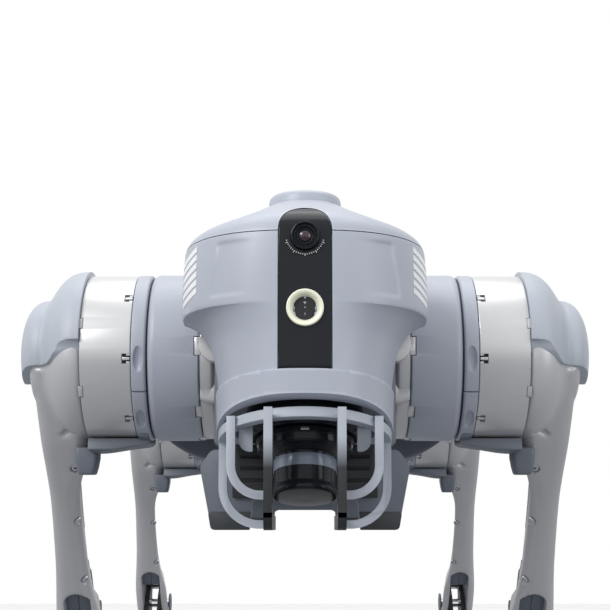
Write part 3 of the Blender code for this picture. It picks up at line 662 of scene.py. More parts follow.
def thigh_shell():
    """The cast thigh: a round shoulder, a slim shank and a forked knee."""
    shank = thigh_shank()
    shoulder = turned([(SHELL_X, 0.0), (SHELL_X, 0.0457), (0.1290, 0.0447), (0.1350, 0.0405),
                       (0.1400, 0.0335),
                       (0.1430, 0.0300), (0.1490, 0.0285), (0.1515, 0.0240), (0.1515, 0.0)], steps=96,
                      soft=0.004)
    union(shank, shoulder)
    pocket = rod("X", 0.0275, SHELL_X - 0.01, 0.1475, steps=48)
    slot = [(LEG_X - 0.0081, -0.270)] + arc((LEG_X, -0.1700), 0.0081, 180, 0, 16) + [(LEG_X + 0.0081, -0.270)]
    knee_slot = prism(slot, "XZ", -0.05, 0.0270)
    channel = block((LEG_X - 0.0050, 0.0070, -0.1740), (LEG_X + 0.0050, 0.0252, -0.0120))
    pin_hole = rod("X", 0.0045, 0.12, 0.17, across=(0.0, -THIGH))
    minus(shank, pocket, knee_slot, channel, pin_hole)
    for point in SCREW_PLACES:
        bore = moved(rod("Z", 0.0031, -0.0022, 0.012), aimed(SCREW_AIM, point))
        minus(shank, bore)
    dimple = bmesh.new()
    bmesh.ops.create_uvsphere(dimple, u_segments=32, v_segments=16, radius=1.0)
    dimple.transform(at(0.1318, -0.0322, -0.0300) @ turn(36, "Y") @ turn(10, "X")
                     @ Matrix.Diagonal((0.0078, 0.0052, 0.0026, 1.0)))
    minus(shank, from_bmesh(dimple))
    return cast(shank, 0.001, 6)


def thigh_tabs():
    """The tabs of the thigh's rim that reach into the motor can."""
    rows = [drum_block(angle, 0.1187, 0.1212, 0.0058, BAND - 0.0009, BAND + 0.0001) for angle in TAB_ANGLES]
    return joined(*rows)


def thigh_screws():
    """Socket screws along the thigh's inner front edge."""
    places = [(Vector(point) - SCREW_AIM * 0.0020, SCREW_AIM) for point in SCREW_PLACES]
    return screws(places, 0.0024, 0.0018)


def knee_caps():
    """The recessed covers over the knee pin's ends."""
    caps = []
    for side in (-1, 1):
        along = LEG_X + side * 0.0136
        low, high = sorted((along, LEG_X + side * 0.0152))
        caps.append(turned([(low, 0.0), (low, 0.0092), (high, 0.0088), (high, 0.0)], "X", 64, 0.0004))
    return moved(joined(*caps), at(0, 0, -THIGH))


def knee_liner():
    """The dark liner inside the knee slot's upper end, with its parting line."""
    points = [(LEG_X - 0.0083, -0.1815)] + arc((LEG_X, -0.1700), 0.0083, 180, 0, 16)
    points += [(LEG_X + 0.0083, -0.1815)]
    plate = prism(points, "XZ", -0.0100, -0.0080)
    minus(plate, block((LEG_X - 0.0002, -0.0110, -0.1900), (LEG_X + 0.0002, -0.0092, -0.1500)))
    return rounded(plate, 0.0003, 2)


GUARD_PROFILE = ((SHELL_X, 0.0488), (0.1255, 0.0484), (0.1305, 0.0466), (0.1345, 0.0434), (0.1381, 0.0390),
                 (0.1410, 0.0345), (0.1432, 0.0326), (0.1462, 0.0322), (0.1500, 0.0306), (0.1532, 0.0272),
                 (0.1558, 0.0220), (0.1574, 0.0150), (0.1582, 0.0060), (0.1583, 0.0010))


def guard_edge():
    """The scalloped lower edge of the shoulder guard, from the side."""
    wave = curve_through([(-0.0560, 0.0440), (-0.0362, 0.0345), (-0.0357, 0.0257), (-0.0340, 0.0180),
                          (-0.0283, 0.0125), (-0.0213, 0.0029), (-0.0110, -0.0105), (0.0060, -0.0150),
                          (0.0300, -0.0140), (0.0470, -0.0120), (0.0620, -0.0120)], 6)
    return [(-0.0560, -0.0700)] + wave + [(0.0620, -0.0700)]


def shoulder_guard():
    """The shoulder's cap: an inner lobe over the motor's end, and a smaller outer lobe."""
    cap = turned([(SHELL_X, 0.0)] + curve_through(GUARD_PROFILE, 5) + [(GUARD_PROFILE[-1][0], 0.0)],
                 steps=128,
                 soft=0.0002)
    minus(cap, prism(guard_edge(), "YZ", 0.10, 0.18))
    return rounded(cap, 0.0004, 2, 40)


FOOT_RADIUS = 0.0218
FOOT_NARROW = 0.85            # the foot's width as a share of its depth


def foot():
    """The rubber foot, with tread grooves round its lower part."""
    ball = bmesh.new()
    bmesh.ops.create_uvsphere(ball, u_segments=64, v_segments=40, radius=FOOT_RADIUS)
    ball.transform(at(LEG_X, 0.0, -SHIN) @ Matrix.Diagonal((FOOT_NARROW, 1.0, 1.0, 1.0)))
    thing = from_bmesh(ball)
    for x in (-0.009, -0.003, 0.003, 0.009):
        reach = math.sqrt(1 - (x / (FOOT_RADIUS * FOOT_NARROW)) ** 2) * FOOT_RADIUS
        groove = turned([(LEG_X + x - 0.0005, reach - 0.0006), (LEG_X + x - 0.0005, 0.03),
                         (LEG_X + x + 0.0005, 0.03), (LEG_X + x + 0.0005, reach - 0.0006)], "X", 64, 0.0001)
        moved(groove, at(0, 0, -SHIN))
        lower_part = block((0.10, -0.04, -SHIN - 0.04), (0.18, 0.04, -SHIN + 0.006))
        minus(thing, common(groove, lower_part))
    return thing


def ankle_sleeve():
    """The rubber sleeve that grips the end of the shin."""
    rings = []
    for z, half_x, half_y in ((-0.1830, 0.0088, 0.0092), (-0.1860, 0.0100, 0.0106), (-0.1960, 0.0112, 0.0122),
                              (-0.2040, 0.0130, 0.0142)):
        corners = [(-half_x, -half_y), (half_x, -half_y), (half_x, half_y), (-half_x, half_y)]
        rings.append([(LEG_X + x, y, z) for x, y in fillet(corners, 0.006, 8)])
    return rounded(loft(rings), 0.0008, 3)


LEG_PIECES = (
    # name, maker, finish, frame, slot, CAD node that it stands for
    ("hip_casting_skin", hip_casting, SILVER, "roll", "silver_paint", "hip_casting"),
    ("hip_housing_skin", hip_housing, BLUE_GREY, "roll", "blue_grey_plastic", "hip_housing"),
    ("rotation_gap_shade", rotation_gap_shade, SEAM_SHADOW, "roll", "dark_blue_plastic", None),
    ("clamp_ring_skin", clamp_ring, BLUE_GREY, "pitch_level", "blue_grey_plastic", "clamp_ring"),
    ("cable_tray", cable_tray, SLATE, "pitch_level", "dark_blue_plastic", None),
    ("cable_boot", cable_boot, SLATE, "pitch_level", "dark_blue_plastic", None),
    ("calf_motor_can", calf_motor, SILVER, "pitch_level", "silver_paint", "calf_motor"),
    ("motor_clips", motor_clips, SILVER, "pitch_level", "silver_paint", None),
    ("clip_window_shade", clip_window_shade, SEAM_SHADOW, "pitch_level", "dark_blue_plastic", None),
    ("thigh_casting", thigh_shell, CAST_SILVER, "pitch", "silver_paint", "thigh_shell"),
    ("thigh_tabs", thigh_tabs, CAST_SILVER, "pitch_level", "silver_paint", None),
    ("thigh_screws", thigh_screws, STEEL, "pitch", "polished_steel", None),
    ("knee_caps", knee_caps, SLATE, "pitch", "dark_blue_plastic", None),
    ("knee_liner", knee_liner, SLATE, "pitch", "dark_blue_plastic", None),
    ("shoulder_cap", shoulder_guard, GUARD_BLUE, "pitch", "blue_grey_plastic", "shoulder_guard"),
    ("foot_ball", foot, RUBBER, "knee", "black_rubber", "foot"),
    ("ankle_sleeve", ankle_sleeve, RUBBER, "knee", "black_rubber", None),
)

LEG_FRAMES = {"roll": ("hip", 0.0), "pitch_level": ("thigh", 0.0), "pitch": ("thigh", LEAN),
              "knee": ("shin", SHIN_LEAN)}
LEGS = (("fl", "front_left", 1), ("fr", "front_right", -1), ("rl", "rear_left", 1), ("rr", "rear_right", -1))


def build_legs():
    for name, maker, finish, kind, slot, cad_node in LEG_PIECES:
        pattern = maker()
        body_part, lean = LEG_FRAMES[kind]
        for prefix, body, side in LEGS:
            axis = joint_at(body + ("_knee" if kind == "knee" else "_pitch"))
            mesh = pattern.data.copy() if side > 0 else mirrored(pattern.data)
            place = Matrix.Translation((0.0, axis.y, axis.z)) @ Matrix.Rotation(lean, 4, "X")
            nodes = [f"{prefix}_{cad_node}"] if cad_node else []
            piece(f"{prefix}_{name}", linked(name, mesh), finish, f"{body}_{body_part}", nodes, place)
        bpy.data.objects.remove(pattern)


# ---------------------------------------------------------------- head
HEAD_REAR = -0.2573
HEAD_POWER = 2.5
HEAD_ROWS = (
    (-0.0440, 0.0432, 0.0762), (-0.0297, 0.0437, 0.0762), (-0.0178, 0.0450, 0.0762),
             (-0.0062, 0.0474, 0.0762),
    (0.0000, 0.0505, 0.0762), (0.0050, 0.0550, 0.0762), (0.0080, 0.0600, 0.0761), (0.0100, 0.0626, 0.0760),
    (0.0250, 0.0624, 0.0757), (0.0360, 0.0618, 0.0750), (0.0440, 0.0606, 0.0738), (0.0490, 0.0550, 0.0712),
    (0.0526, 0.0455, 0.0674), (0.0560, 0.0372, 0.0612), (0.0594, 0.0308, 0.0530), (0.0630, 0.0252, 0.0440),
    (0.0668, 0.0198, 0.0340),
)
SEAM_Z = 0.0424
STRIP_HALF = 0.0124
STRIP_TOP = 0.0557
LENS_Z = 0.0393
LIGHT_Z = 0.0055
FACE_Y = HEAD_REAR - 0.0762
CROWN_Y = -0.2720
PANEL_X = 0.0448              # crease between face panel and side wing
PANEL_Z = (0.0131, 0.0385)
PANEL_DEPTH = 0.0009


def head_size(z):
    """Half width and depth of the head's plan at a height."""
    rows = HEAD_FINE_ROWS
    if z <= rows[0][0]:
        return rows[0][1:]
    for low, high in zip(rows, rows[1:]):
        if z <= high[0]:
            t = (z - low[0]) / (high[0] - low[0])
            return tuple(a + (b - a) * t for a, b in zip(low[1:], high[1:]))
    return rows[-1][1:]


HEAD_FINE_ROWS = curve_through(HEAD_ROWS, 6)


def eased(value, start, end):
    t = max(0.0, min(1.0, (value - start) / (end - start)))
    return t * t * (3 - 2 * t)


def panel_sink(x, z):
    """How far the face panel lies behind the side wing."""
    across = abs(x)
    edge = PANEL_X - 0.0035 * eased(z, PANEL_Z[0], PANEL_Z[1])
    inside = 1 - eased(across, edge - 0.0012, edge + 0.0012)
    fade = eased(across, edge - 0.020, edge - 0.002)
    upper = 1 - eased(z, PANEL_Z[1] - 0.0012, PANEL_Z[1] + 0.0012)
    lower = eased(z, PANEL_Z[0] - 0.0012, PANEL_Z[0] + 0.0012)
    return PANEL_DEPTH * inside * fade * upper * lower


def head_point(angle, z, grow=0.0):
    half_width, depth = head_size(z)
    across = math.copysign(abs(math.cos(angle)) ** (2 / HEAD_POWER), math.cos(angle))
    ahead = abs(math.sin(angle)) ** (2 / HEAD_POWER)
    x = (half_width + grow) * across
    sink = panel_sink(x, z) if grow == 0 else 0.0
    return (x, HEAD_REAR - (depth + grow) * ahead + sink, z)


def head_solid(low, high, grow=0.0, rows=90, steps=220):
    rings = []
    for k in range(rows + 1):
        z = low + (high - low) * k / rows
        ring = [head_point(math.pi * i / steps, z, grow) for i in range(steps + 1)]
        ring[0] = (ring[0][0], HEAD_REAR + 0.0002, z)
        ring[-1] = (ring[-1][0], HEAD_REAR + 0.0002, z)
        rings.append(ring)
    return loft(rings)


def slope_block(front_z, slope, above):
    """The space above or below a plane that falls towards the rear from the head's front."""
    low, high = (0.0, 0.2) if above else (-0.2, 0.0)
    thing = block((-0.1, -0.05, low), (0.1, 0.15, high))
    return moved(thing, at(0.0, FACE_Y, front_z) @ Matrix.Rotation(-slope, 4, "X"))


def strip_outline(grow):
    half = STRIP_HALF + grow
    return [(-half, -0.0230 - grow), (half, -0.0230 - grow)] + arc((0, STRIP_TOP - STRIP_HALF), half, 0,
                                                                   180, 32)


def strip_prism(grow=0.0):
    return prism(strip_outline(grow), "XZ", -0.36, -0.30)


COLLAR_TOP = (-0.0225, math.radians(7.5))
COLLAR_RIM = (-0.0344, math.radians(13.7))


def face_shell():
    shell = head_solid(-0.0440, SEAM_Z - 0.00025, rows=120)
    minus(shell, slope_block(COLLAR_TOP[0], COLLAR_TOP[1], above=False))
    pocket = minus(strip_prism(0.0003), head_solid(-0.05, 0.062, -0.0016, 40, 60))
    minus(shell, pocket)
    return rounded(shell, 0.0007, 3, 48)


def hood():
    shell = head_solid(SEAM_Z + 0.00025, 0.0668, rows=60)
    pocket = minus(strip_prism(0.0003), head_solid(-0.05, 0.062, -0.0016, 40, 60))
    minus(shell, pocket)
    return rounded(shell, 0.0006, 3, 48)


def crown_cap():
    """The round cap on the crown."""
    profile = [(0.0640, 0.0), (0.0640, 0.0186), (0.0680, 0.0185), (0.0712, 0.0180), (0.0728, 0.0162),
               (0.0730, 0.0)]
    cap = turned(profile, "Z", 96, 0.0009)
    groove = turned([(0.0722, 0.0118), (0.0740, 0.0118), (0.0740, 0.0124), (0.0722, 0.0124)], "Z", 96, 0.0001)
    return moved(minus(cap, groove), at(0.0, CROWN_Y, 0.0))


def face_window():
    strip = common(strip_prism(-0.0002), head_solid(-0.030, 0.062, -0.0003, 60, 200))
    minus(strip, head_solid(-0.05, 0.064, -0.0018, 30, 60))
    for radius, z in ((0.0068, LENS_Z), (0.0089, LIGHT_Z)):
        minus(strip, rod("Y", radius, -0.36, -0.31, across=(0.0, z), steps=96))
    minus(strip, slope_block(COLLAR_TOP[0] + 0.0004, COLLAR_TOP[1], above=False))
    return rounded(strip, 0.0003, 2, 50)


def window_bed_shade():
    """Painted shade: a near black bed behind the face strip, inside its pocket."""
    strip = common(strip_prism(0.0), head_solid(-0.026, 0.0600, -0.0016, 40, 100))
    return minus(strip, head_solid(-0.05, 0.064, -0.0032, 30, 60))


def front_turned(profile, z, soft=0.0002, steps=96):
    """A turned piece on the face: profile heights count forwards from the face's front."""
    thing = turned(profile, "Z", steps, soft)
    return moved(thing, at(0.0, FACE_Y, z) @ turn(90, "X"))


def lens_parts():
    barrel = front_turned([(-0.0120, 0.0), (-0.0120, 0.0066), (0.0007, 0.0066), (0.0009, 0.0060),
                           (-0.0005, 0.0052),
                           (-0.0005, 0.0047), (0.0001, 0.0045), (-0.0012, 0.0036), (-0.0012, 0.0031),
                           (-0.0026, 0.0021), (-0.0034, 0.0)], LENS_Z, 0.00012)
    dome = front_turned([(-0.0032, 0.0), (-0.0022, 0.0020), (-0.0014, 0.0029), (-0.0007, 0.0026),
                         (-0.0002, 0.0016),
                         (0.0001, 0.0)], LENS_Z, 0.0001)
    pupil = front_turned([(-0.0042, 0.0), (-0.0042, 0.0012), (-0.0030, 0.0012), (-0.0028, 0.0)], LENS_Z,
                         0.0001)
    return barrel, dome, pupil


def lens_ticks():
    """Plain graduation marks on an arc below the lens."""
    ticks = []
    for i in range(23):
        angle = math.radians(195 + 150 * i / 22)
        long_mark = i % 5 == 1
        low, high = 0.0085, (0.0097 if long_mark else 0.0091)
        mark = block((low, -0.00011, 0.0), (high, 0.00011, 0.0004))
        ticks.append(moved(mark, Matrix.Rotation(angle, 4, "Z")))
    return moved(joined(*ticks), at(0.0, FACE_Y + 0.00042, LENS_Z) @ turn(90, "X"))


def lamp_parts():
    rim = front_turned([(-0.0100, 0.0058), (-0.0100, 0.0087), (0.0009, 0.0087), (0.0014, 0.0082),
                        (0.0010, 0.0070),
                        (-0.0004, 0.0060), (-0.0020, 0.0054)], LIGHT_Z, 0.0003)
    bowl = front_turned([(-0.0105, 0.0), (-0.0105, 0.0066), (-0.0010, 0.0063), (-0.0016, 0.0056),
                         (-0.0030, 0.0048),
                         (-0.0030, 0.0042), (-0.0044, 0.0034), (-0.0050, 0.0)], LIGHT_Z, 0.00015)
    ring = front_turned([(-0.0052, 0.0), (-0.0052, 0.0030), (-0.0036, 0.0028), (-0.0034, 0.0022),
                         (-0.0040, 0.0018),
                         (-0.0042, 0.0)], LIGHT_Z, 0.0002)
    led = front_turned([(-0.0045, 0.0), (-0.0045, 0.0019), (-0.0034, 0.0017), (-0.0026, 0.0010),
                        (-0.0024, 0.0)],
                       LIGHT_Z, 0.0003)
    return rim, bowl, ring, led


def wing_patch(x_near, x_far, z_low, z_high, shear):
    """A slanted white stripe that follows the wing's surface. X runs from near the middle to far from it."""
    columns, rows = 8, 4
    shape = bmesh.new()
    layers = []
    for lift in (0.00016, -0.0006):
        grid = []
        for r in range(rows + 1):
            line = []
            for c in range(columns + 1):
                x = x_near + (x_far - x_near) * c / columns
                z = z_low + (z_high - z_low) * r / rows + shear * c / columns
                half_width = head_size(z)[0]
                ratio = min(1.0, x / half_width)
                angle = math.acos(ratio ** (HEAD_POWER / 2))
                line.append(shape.verts.new(head_point(angle, z, lift)))
            grid.append(line)
        layers.append(grid)
    for grid in layers:
        for r in range(rows):
            for c in range(columns):
                shape.faces.new((grid[r][c], grid[r][c + 1], grid[r + 1][c + 1], grid[r + 1][c]))
    front, back = layers
    rim = [(0, c) for c in range(columns)] + [(r, columns) for r in range(rows)]
    rim += [(rows, c) for c in range(columns, 0, -1)] + [(r, 0) for r in range(rows, 0, -1)]
    for (r0, c0), (r1, c1) in zip(rim, rim[1:] + rim[:1]):
        shape.faces.new((front[r0][c0], front[r1][c1], back[r1][c1], back[r0][c0]))
    return from_bmesh(shape)


STRIPE_COUNT = 6
STRIPE_BOTTOM = 0.0168
STRIPE_PITCH = 0.0041
STRIPE_X = (0.0522, 0.0604)


def stripes():
    """Six slanted stripes on the left wing."""
    heights = [STRIPE_BOTTOM + i * STRIPE_PITCH for i in range(STRIPE_COUNT)]
    return joined(*[wing_patch(*STRIPE_X, z, z + STRIPE_PITCH * 0.66, -0.0044) for z in heights])


def collar():
    """The collar under the face: a flared ring, open below around the scanner."""
    solid = head_solid(-0.0700, 0.0, 0.0014, 60, 200)
    minus(solid, slope_block(COLLAR_TOP[0] - 0.0004, COLLAR_TOP[1], above=True))
    minus(solid, slope_block(COLLAR_RIM[0], COLLAR_RIM[1], above=False))
    bore = turned([(-0.05, 0.0), (-0.05, 0.0394), (0.0108, 0.0394), (0.0108, 0.0)], "Z", 128, 0.0001)
    moved(bore, TRUNK.inverted() @ SCANNER)
    minus(solid, bore)
    return rounded(solid, 0.0009, 3, 40)


def build_head():
    trunk_piece("head_face", face_shell(), BLUE_GREY, "blue_grey_plastic", "head_shell")
    trunk_piece("head_hood_skin", hood(), BLUE_GREY, "blue_grey_plastic", "head_hood")
    trunk_piece("crown_cap", crown_cap(), BLUE_GREY, "blue_grey_plastic", "head_cap")
    # Painted shade: a near black band in the seam between face and hood.
    trunk_piece("head_seam_shadow", head_solid(SEAM_Z - 0.0012, SEAM_Z + 0.0012, -0.0012, 2, 100), SEAM_SHADOW,
                "dark_blue_plastic")
    trunk_piece("face_strip", face_window(), GLOSS, "gloss_black", "face_window")
    # Painted shade behind the face strip.
    trunk_piece("face_strip_shade", window_bed_shade(), SEAM_SHADOW, "gloss_black")
    barrel, dome, pupil = lens_parts()
    trunk_piece("lens_barrel", barrel, GLOSS, "gloss_black", "camera_lens")
    trunk_piece("lens_dome", dome, LENS, "gloss_black")
    trunk_piece("lens_pupil", pupil, SEAM_SHADOW, "gloss_black")
    trunk_piece("lens_ticks", lens_ticks(), WHITE, "gloss_black")
    rim, bowl, ring, led = lamp_parts()
    trunk_piece("lamp_rim", rim, CREAM, "lamp_lens", "headlight")
    trunk_piece("lamp_bowl", bowl, CHROME, "lamp_lens")
    trunk_piece("lamp_ring", ring, DARK, "lamp_lens")
    trunk_piece("lamp_led", led, LED, "lamp_lens")
    left = stripes()
    right = linked("stripes", mirrored(left.data))
    trunk_piece("wing_stripes_left", left, WHITE, "blue_grey_plastic")
    trunk_piece("wing_stripes_right", right, WHITE, "blue_grey_plastic")
    trunk_piece("head_collar", collar(), BLUE_GREY, "blue_grey_plastic", "collar")


# ---------------------------------------------------------------- scanner and guard
def build_scanner():
    base = turned([(0.0107, 0.0), (0.0107, 0.0280), (0.0040, 0.0296), (0.0000, 0.0299), (-0.0018, 0.0290),
                   (-0.0030, 0.0284), (-0.0060, 0.0254), (-0.0060, 0.0)], "Z", 128, 0.0008)
    piece("scanner_hood", base, GLOSS, "trunk", ["scanner_base"], SCANNER)
    spool = turned([(-0.0065, 0.0), (-0.0065, 0.0239), (-0.0095, 0.0240), (-0.0098, 0.0234),
                    (-0.0132, 0.0232),
                    (-0.0138, 0.0222), (-0.0160, 0.0154), (-0.0300, 0.0150), (-0.0332, 0.0162),
                    (-0.0345, 0.0160),
                    (-0.0352, 0.0150), (-0.0362, 0.0)], "Z", 128, 0.0005)
    piece("scanner_spool", spool, GLOSS, "scanner_rotor", ["scanner_rotor"], SCANNER)
    # Painted reflection: a pale band round the spool in place of the reflection on its gloss black.
    reflection_band = turned([(-0.0172, 0.0140), (-0.0172, 0.0156), (-0.0232, 0.0155), (-0.0232, 0.0140)], "Z",
                    128, 0.0003)
    piece("scanner_painted_reflection", reflection_band, PAINTED_REFLECTION_BAND, "scanner_rotor", [], SCANNER)
    index = block((-0.0020, -0.0242, -0.0090), (0.0020, -0.0236, -0.0074), 0.0002, 2)
    piece("scanner_index", index, CHROME, "scanner_rotor", [], SCANNER)


GUARD_BAR_X = (0.0149, 0.0189)
GUARD_FRONT = -0.3334
PAD_BOTTOM = -0.0960
COLLAR_Y = -0.2885
BULKHEAD_END = 0.2570


def hoop(y, half_width, bottom, radius, top, thick=0.0041, deep=0.0040):
    """A U-shaped hoop across the robot."""
    def side(half, floor, corner):
        left = [(-half, top)] + arc((-half + corner, floor + corner), corner, 180, 270, 16)
        return left + [(-x, z) for x, z in reversed(left)]

    outer = side(half_width, bottom, radius)
    inner = side(half_width - thick, bottom + thick, radius - thick)
    return prism(outer + inner[::-1], "XZ", y - deep / 2, y + deep / 2)


def scanner_guard():
    band = turned([(0.0000, 0.0373), (0.0000, 0.0423), (0.0050, 0.0423), (0.0050, 0.0373)], "Z", 128, 0.0005)
    tilt = Matrix.Rotation(-COLLAR_RIM[1], 4, "X")
    centre_z = COLLAR_RIM[0] - (COLLAR_Y - GUARD_FRONT) * math.tan(COLLAR_RIM[1]) - 0.0090
    moved(band, at(0.0, COLLAR_Y, centre_z) @ tilt)
    minus(band, block((-0.1, COLLAR_Y + 0.0060, -0.1), (0.1, 0.0, 0.1)))
    floor = PAD_BOTTOM - 0.0002
    bar = [(GUARD_FRONT, -0.0402), (GUARD_FRONT, -0.0905)]
    bar += arc((GUARD_FRONT + 0.008, floor + 0.008), 0.008, 180, 270, 10)
    rear = -BULKHEAD_END + 0.0007
    bar += [(rear, floor), (rear, floor + 0.0070), (-0.3190, floor + 0.0070), (-0.3165, floor + 0.0100),
            (-0.3165, -0.0480)]
    bars = []
    for side in (-1, 1):
        low, high = sorted((side * GUARD_BAR_X[0], side * GUARD_BAR_X[1]))
        bars.append(rounded(prism(bar, "YZ", low, high), 0.0005, 3, 40))
    hoops = union(hoop(-0.3145, 0.0368, -0.0820, 0.0160, -0.0430),
                  hoop(COLLAR_Y, 0.0420, PAD_BOTTOM + 0.0004, 0.0200, -0.0480))
    between = GUARD_BAR_X[0] + 0.0010
    union(band, minus(hoops, block((-between, -0.36, -0.2), (between, -0.25, 0.0))))
    return rounded(band, 0.0005, 3, 40), joined(*bars)


def guard_panels():
    """The D-shaped plates on both sides behind the bars."""
    rows = []
    for side in (-1, 1):
        points = [(0.0246, -0.0425), (0.0312, -0.0425), (0.0312, -0.0545)]
        points += arc((0.0262, -0.0545), 0.0050, 0, -90, 8)[1:]
        points += [(0.0246, -0.0595)]
        flat = prism([(side * x, z) for x, z in fillet(points, 0.0008, 2)], "XZ", -0.3110, -0.3086)
        rows.append(rounded(flat, 0.0003, 2))
    return joined(*rows)


def backplate():
    """The black plate behind the scanner."""
    plate = block((-0.0370, -0.2582, -0.0800), (0.0370, -0.2573, -0.0360), 0.0004, 2)
    for k in range(5):
        z = -0.0720 + 0.0060 * k
        minus(plate, block((-0.0330, -0.2590, z), (0.0330, -0.2578, z + 0.0020), 0.0004, 2))
    return plate


def build_guard():
    cage, bars = scanner_guard()
    trunk_piece("scanner_cage", cage, GUARD_BLUE, "blue_grey_plastic", "scanner_guard")
    # The bars carry painted shade that turns them near black lower down.
    trunk_piece("cage_bars", bars, CAGE_BAR_PAINTED_SHADE, "blue_grey_plastic", "scanner_guard")
    trunk_piece("scanner_backplate", backplate(), PAINT, "gloss_black")
    trunk_piece("cage_plates", guard_panels(), GUARD_BLUE, "blue_grey_plastic")


# ---------------------------------------------------------------- trunk
MIDDLE_END = HIP_Y - 0.0519
TRUNK_HALF = 0.0470
TRUNK_TOP = 0.0520
TRUNK_BOTTOM = -0.0550
DECK_TOP = 0.0620
RAIL_TOP = 0.0660
BAY_RADIUS = 0.0560


CORNERS = [(side, end) for side in (-1, 1) for end in (-1, 1)]


def superellipse(half_width, half_height, power, steps=96):
    points = []
    for i in range(steps):
        angle = 2 * math.pi * i / steps
        c, s = math.cos(angle), math.sin(angle)
        points.append((half_width * math.copysign(abs(c) ** (2 / power), c),
                       half_height * math.copysign(abs(s) ** (2 / power), s)))
    return points


def chassis():
    body = block((-TRUNK_HALF, -MIDDLE_END, TRUNK_BOTTOM), (TRUNK_HALF, MIDDLE_END, TRUNK_TOP), 0.006, 4)
    for side, end in CORNERS:
        low, high = sorted((end * (MIDDLE_END - 0.034), end * (MIDDLE_END - 0.0005)))
        bay = turned([(low, 0.0), (low, BAY_RADIUS), (high, BAY_RADIUS), (high, 0.0)], "Y", 128, 0.003)
        moved(bay, at(side * ROLL_X, 0.0, 0.0))
        common(bay, block((-0.2, low - 0.1, TRUNK_BOTTOM + 0.0005), (0.2, high + 0.1, TRUNK_TOP - 0.0005)))
        union(body, bay)
    for end in (-1, 1):
        low, high = sorted((end * (MIDDLE_END - 0.004), end * (BULKHEAD_END - 0.003)))
        union(body, block((-0.0100, low, -0.0500), (0.0100, high, TRUNK_TOP - 0.001)))
        low, high = sorted((end * (HIP_Y + 0.0515), end * BULKHEAD_END))
        union(body, block((-TRUNK_HALF, low, -0.0540), (TRUNK_HALF, high, 0.0400), 0.004, 3))
    minus(body, block((0.0050, -0.0720, -0.0400), (TRUNK_HALF + 0.01, 0.0720, 0.0400)))
    for i in range(9):
        y = -0.0560 + 0.0140 * i
        minus(body, block((-TRUNK_HALF - 0.002, y - 0.0024, -0.0300),
                          (-TRUNK_HALF + 0.0035, y + 0.0024, 0.0300), 0.002, 3))
    for side, end in CORNERS:
        for k in (1, 2):
            low, high = (end * (MIDDLE_END - 0.0080 - 0.0085 * k) + half for half in (-0.0007, 0.0007))
            groove = turned([(low, BAY_RADIUS - 0.0010), (low, 0.07), (high, 0.07),
                             (high, BAY_RADIUS - 0.0010)], "Y", 96, 0.0001)
            minus(body, moved(groove, at(side * ROLL_X, 0.0, 0.0)))
    return rounded(body, 0.0006, 2, 40)


def bay_faces():
    """Round end plates of the roll motors, seen in the hip zones."""
    plates = []
    for side, end in CORNERS:
        low, high = sorted((end * (MIDDLE_END - 0.0002), end * (MIDDLE_END + 0.0012)))
        disc = turned([(low, 0.0), (low, 0.0400), (high, 0.0385), (high, 0.0)], "Y", 96, 0.0005)
        plates.append(moved(disc, at(side * ROLL_X, 0.0, 0.0)))
    return joined(*plates)


def bay_screws():
    """The screws around the roll motors' end plates, where the bays have room for them."""
    places = []
    for side, end in CORNERS:
        for x, z in arc((side * ROLL_X, 0.0), 0.0480, 30, 330, 5):
            if abs(x) < 0.012 or z > TRUNK_TOP - 0.004 or z < TRUNK_BOTTOM + 0.004:
                continue
            places.append(((x, end * (MIDDLE_END - 0.0006), z), (0, end, 0)))
    return screws(places, 0.0024, 0.0016)


def deck():
    end = MIDDLE_END - 0.001
    cover = block((-0.0500, -end, TRUNK_TOP + 0.0003), (0.0500, end, DECK_TOP), 0.004, 4)
    neck = block((-0.0240, -0.2450, TRUNK_TOP + 0.0003), (0.0240, BULKHEAD_END, DECK_TOP - 0.001), 0.003, 4)
    union(cover, neck)
    for side in (-1, 1):
        low, high = sorted((side * 0.0270, side * 0.0350))
        rail = block((low, -0.0900, DECK_TOP - 0.001), (high, 0.0900, RAIL_TOP), 0.0012, 3)
        groove = block((side * 0.0310 - 0.0012, -0.0840, RAIL_TOP - 0.0016),
                       (side * 0.0310 + 0.0012, 0.0840, 0.08))
        union(cover, minus(rail, groove))
    for y in (-0.1120, 0.1120):
        minus(cover, block((-0.0560, y - 0.0005, DECK_TOP - 0.0009), (0.0560, y + 0.0005, 0.08)))
    minus(cover, block((-0.0150, -0.0420, DECK_TOP - 0.0012), (0.0150, 0.0420, 0.08), 0.003, 3))
    return rounded(cover, 0.0005, 2, 40)


def deck_parts():
    plate = block((-0.0142, -0.0412, DECK_TOP - 0.0016), (0.0142, 0.0412, DECK_TOP - 0.0003), 0.0006, 3)
    for k in range(7):
        y = -0.0300 + 0.0100 * k
        minus(plate, block((-0.0100, y - 0.0018, DECK_TOP - 0.0010), (0.0100, y + 0.0018, 0.08), 0.0006, 2))
    places = [((x, y, DECK_TOP - 0.0004), (0, 0, 1)) for x in (-0.0420, 0.0420)
              for y in (-0.1300, -0.0980, 0.0980, 0.1300)]
    places += [((0.0, y, DECK_TOP - 0.0014), (0, 0, 1)) for y in (-0.2150, -0.1650, 0.1650, 0.2150)]
    return plate, screws(places, 0.0026, 0.0014)


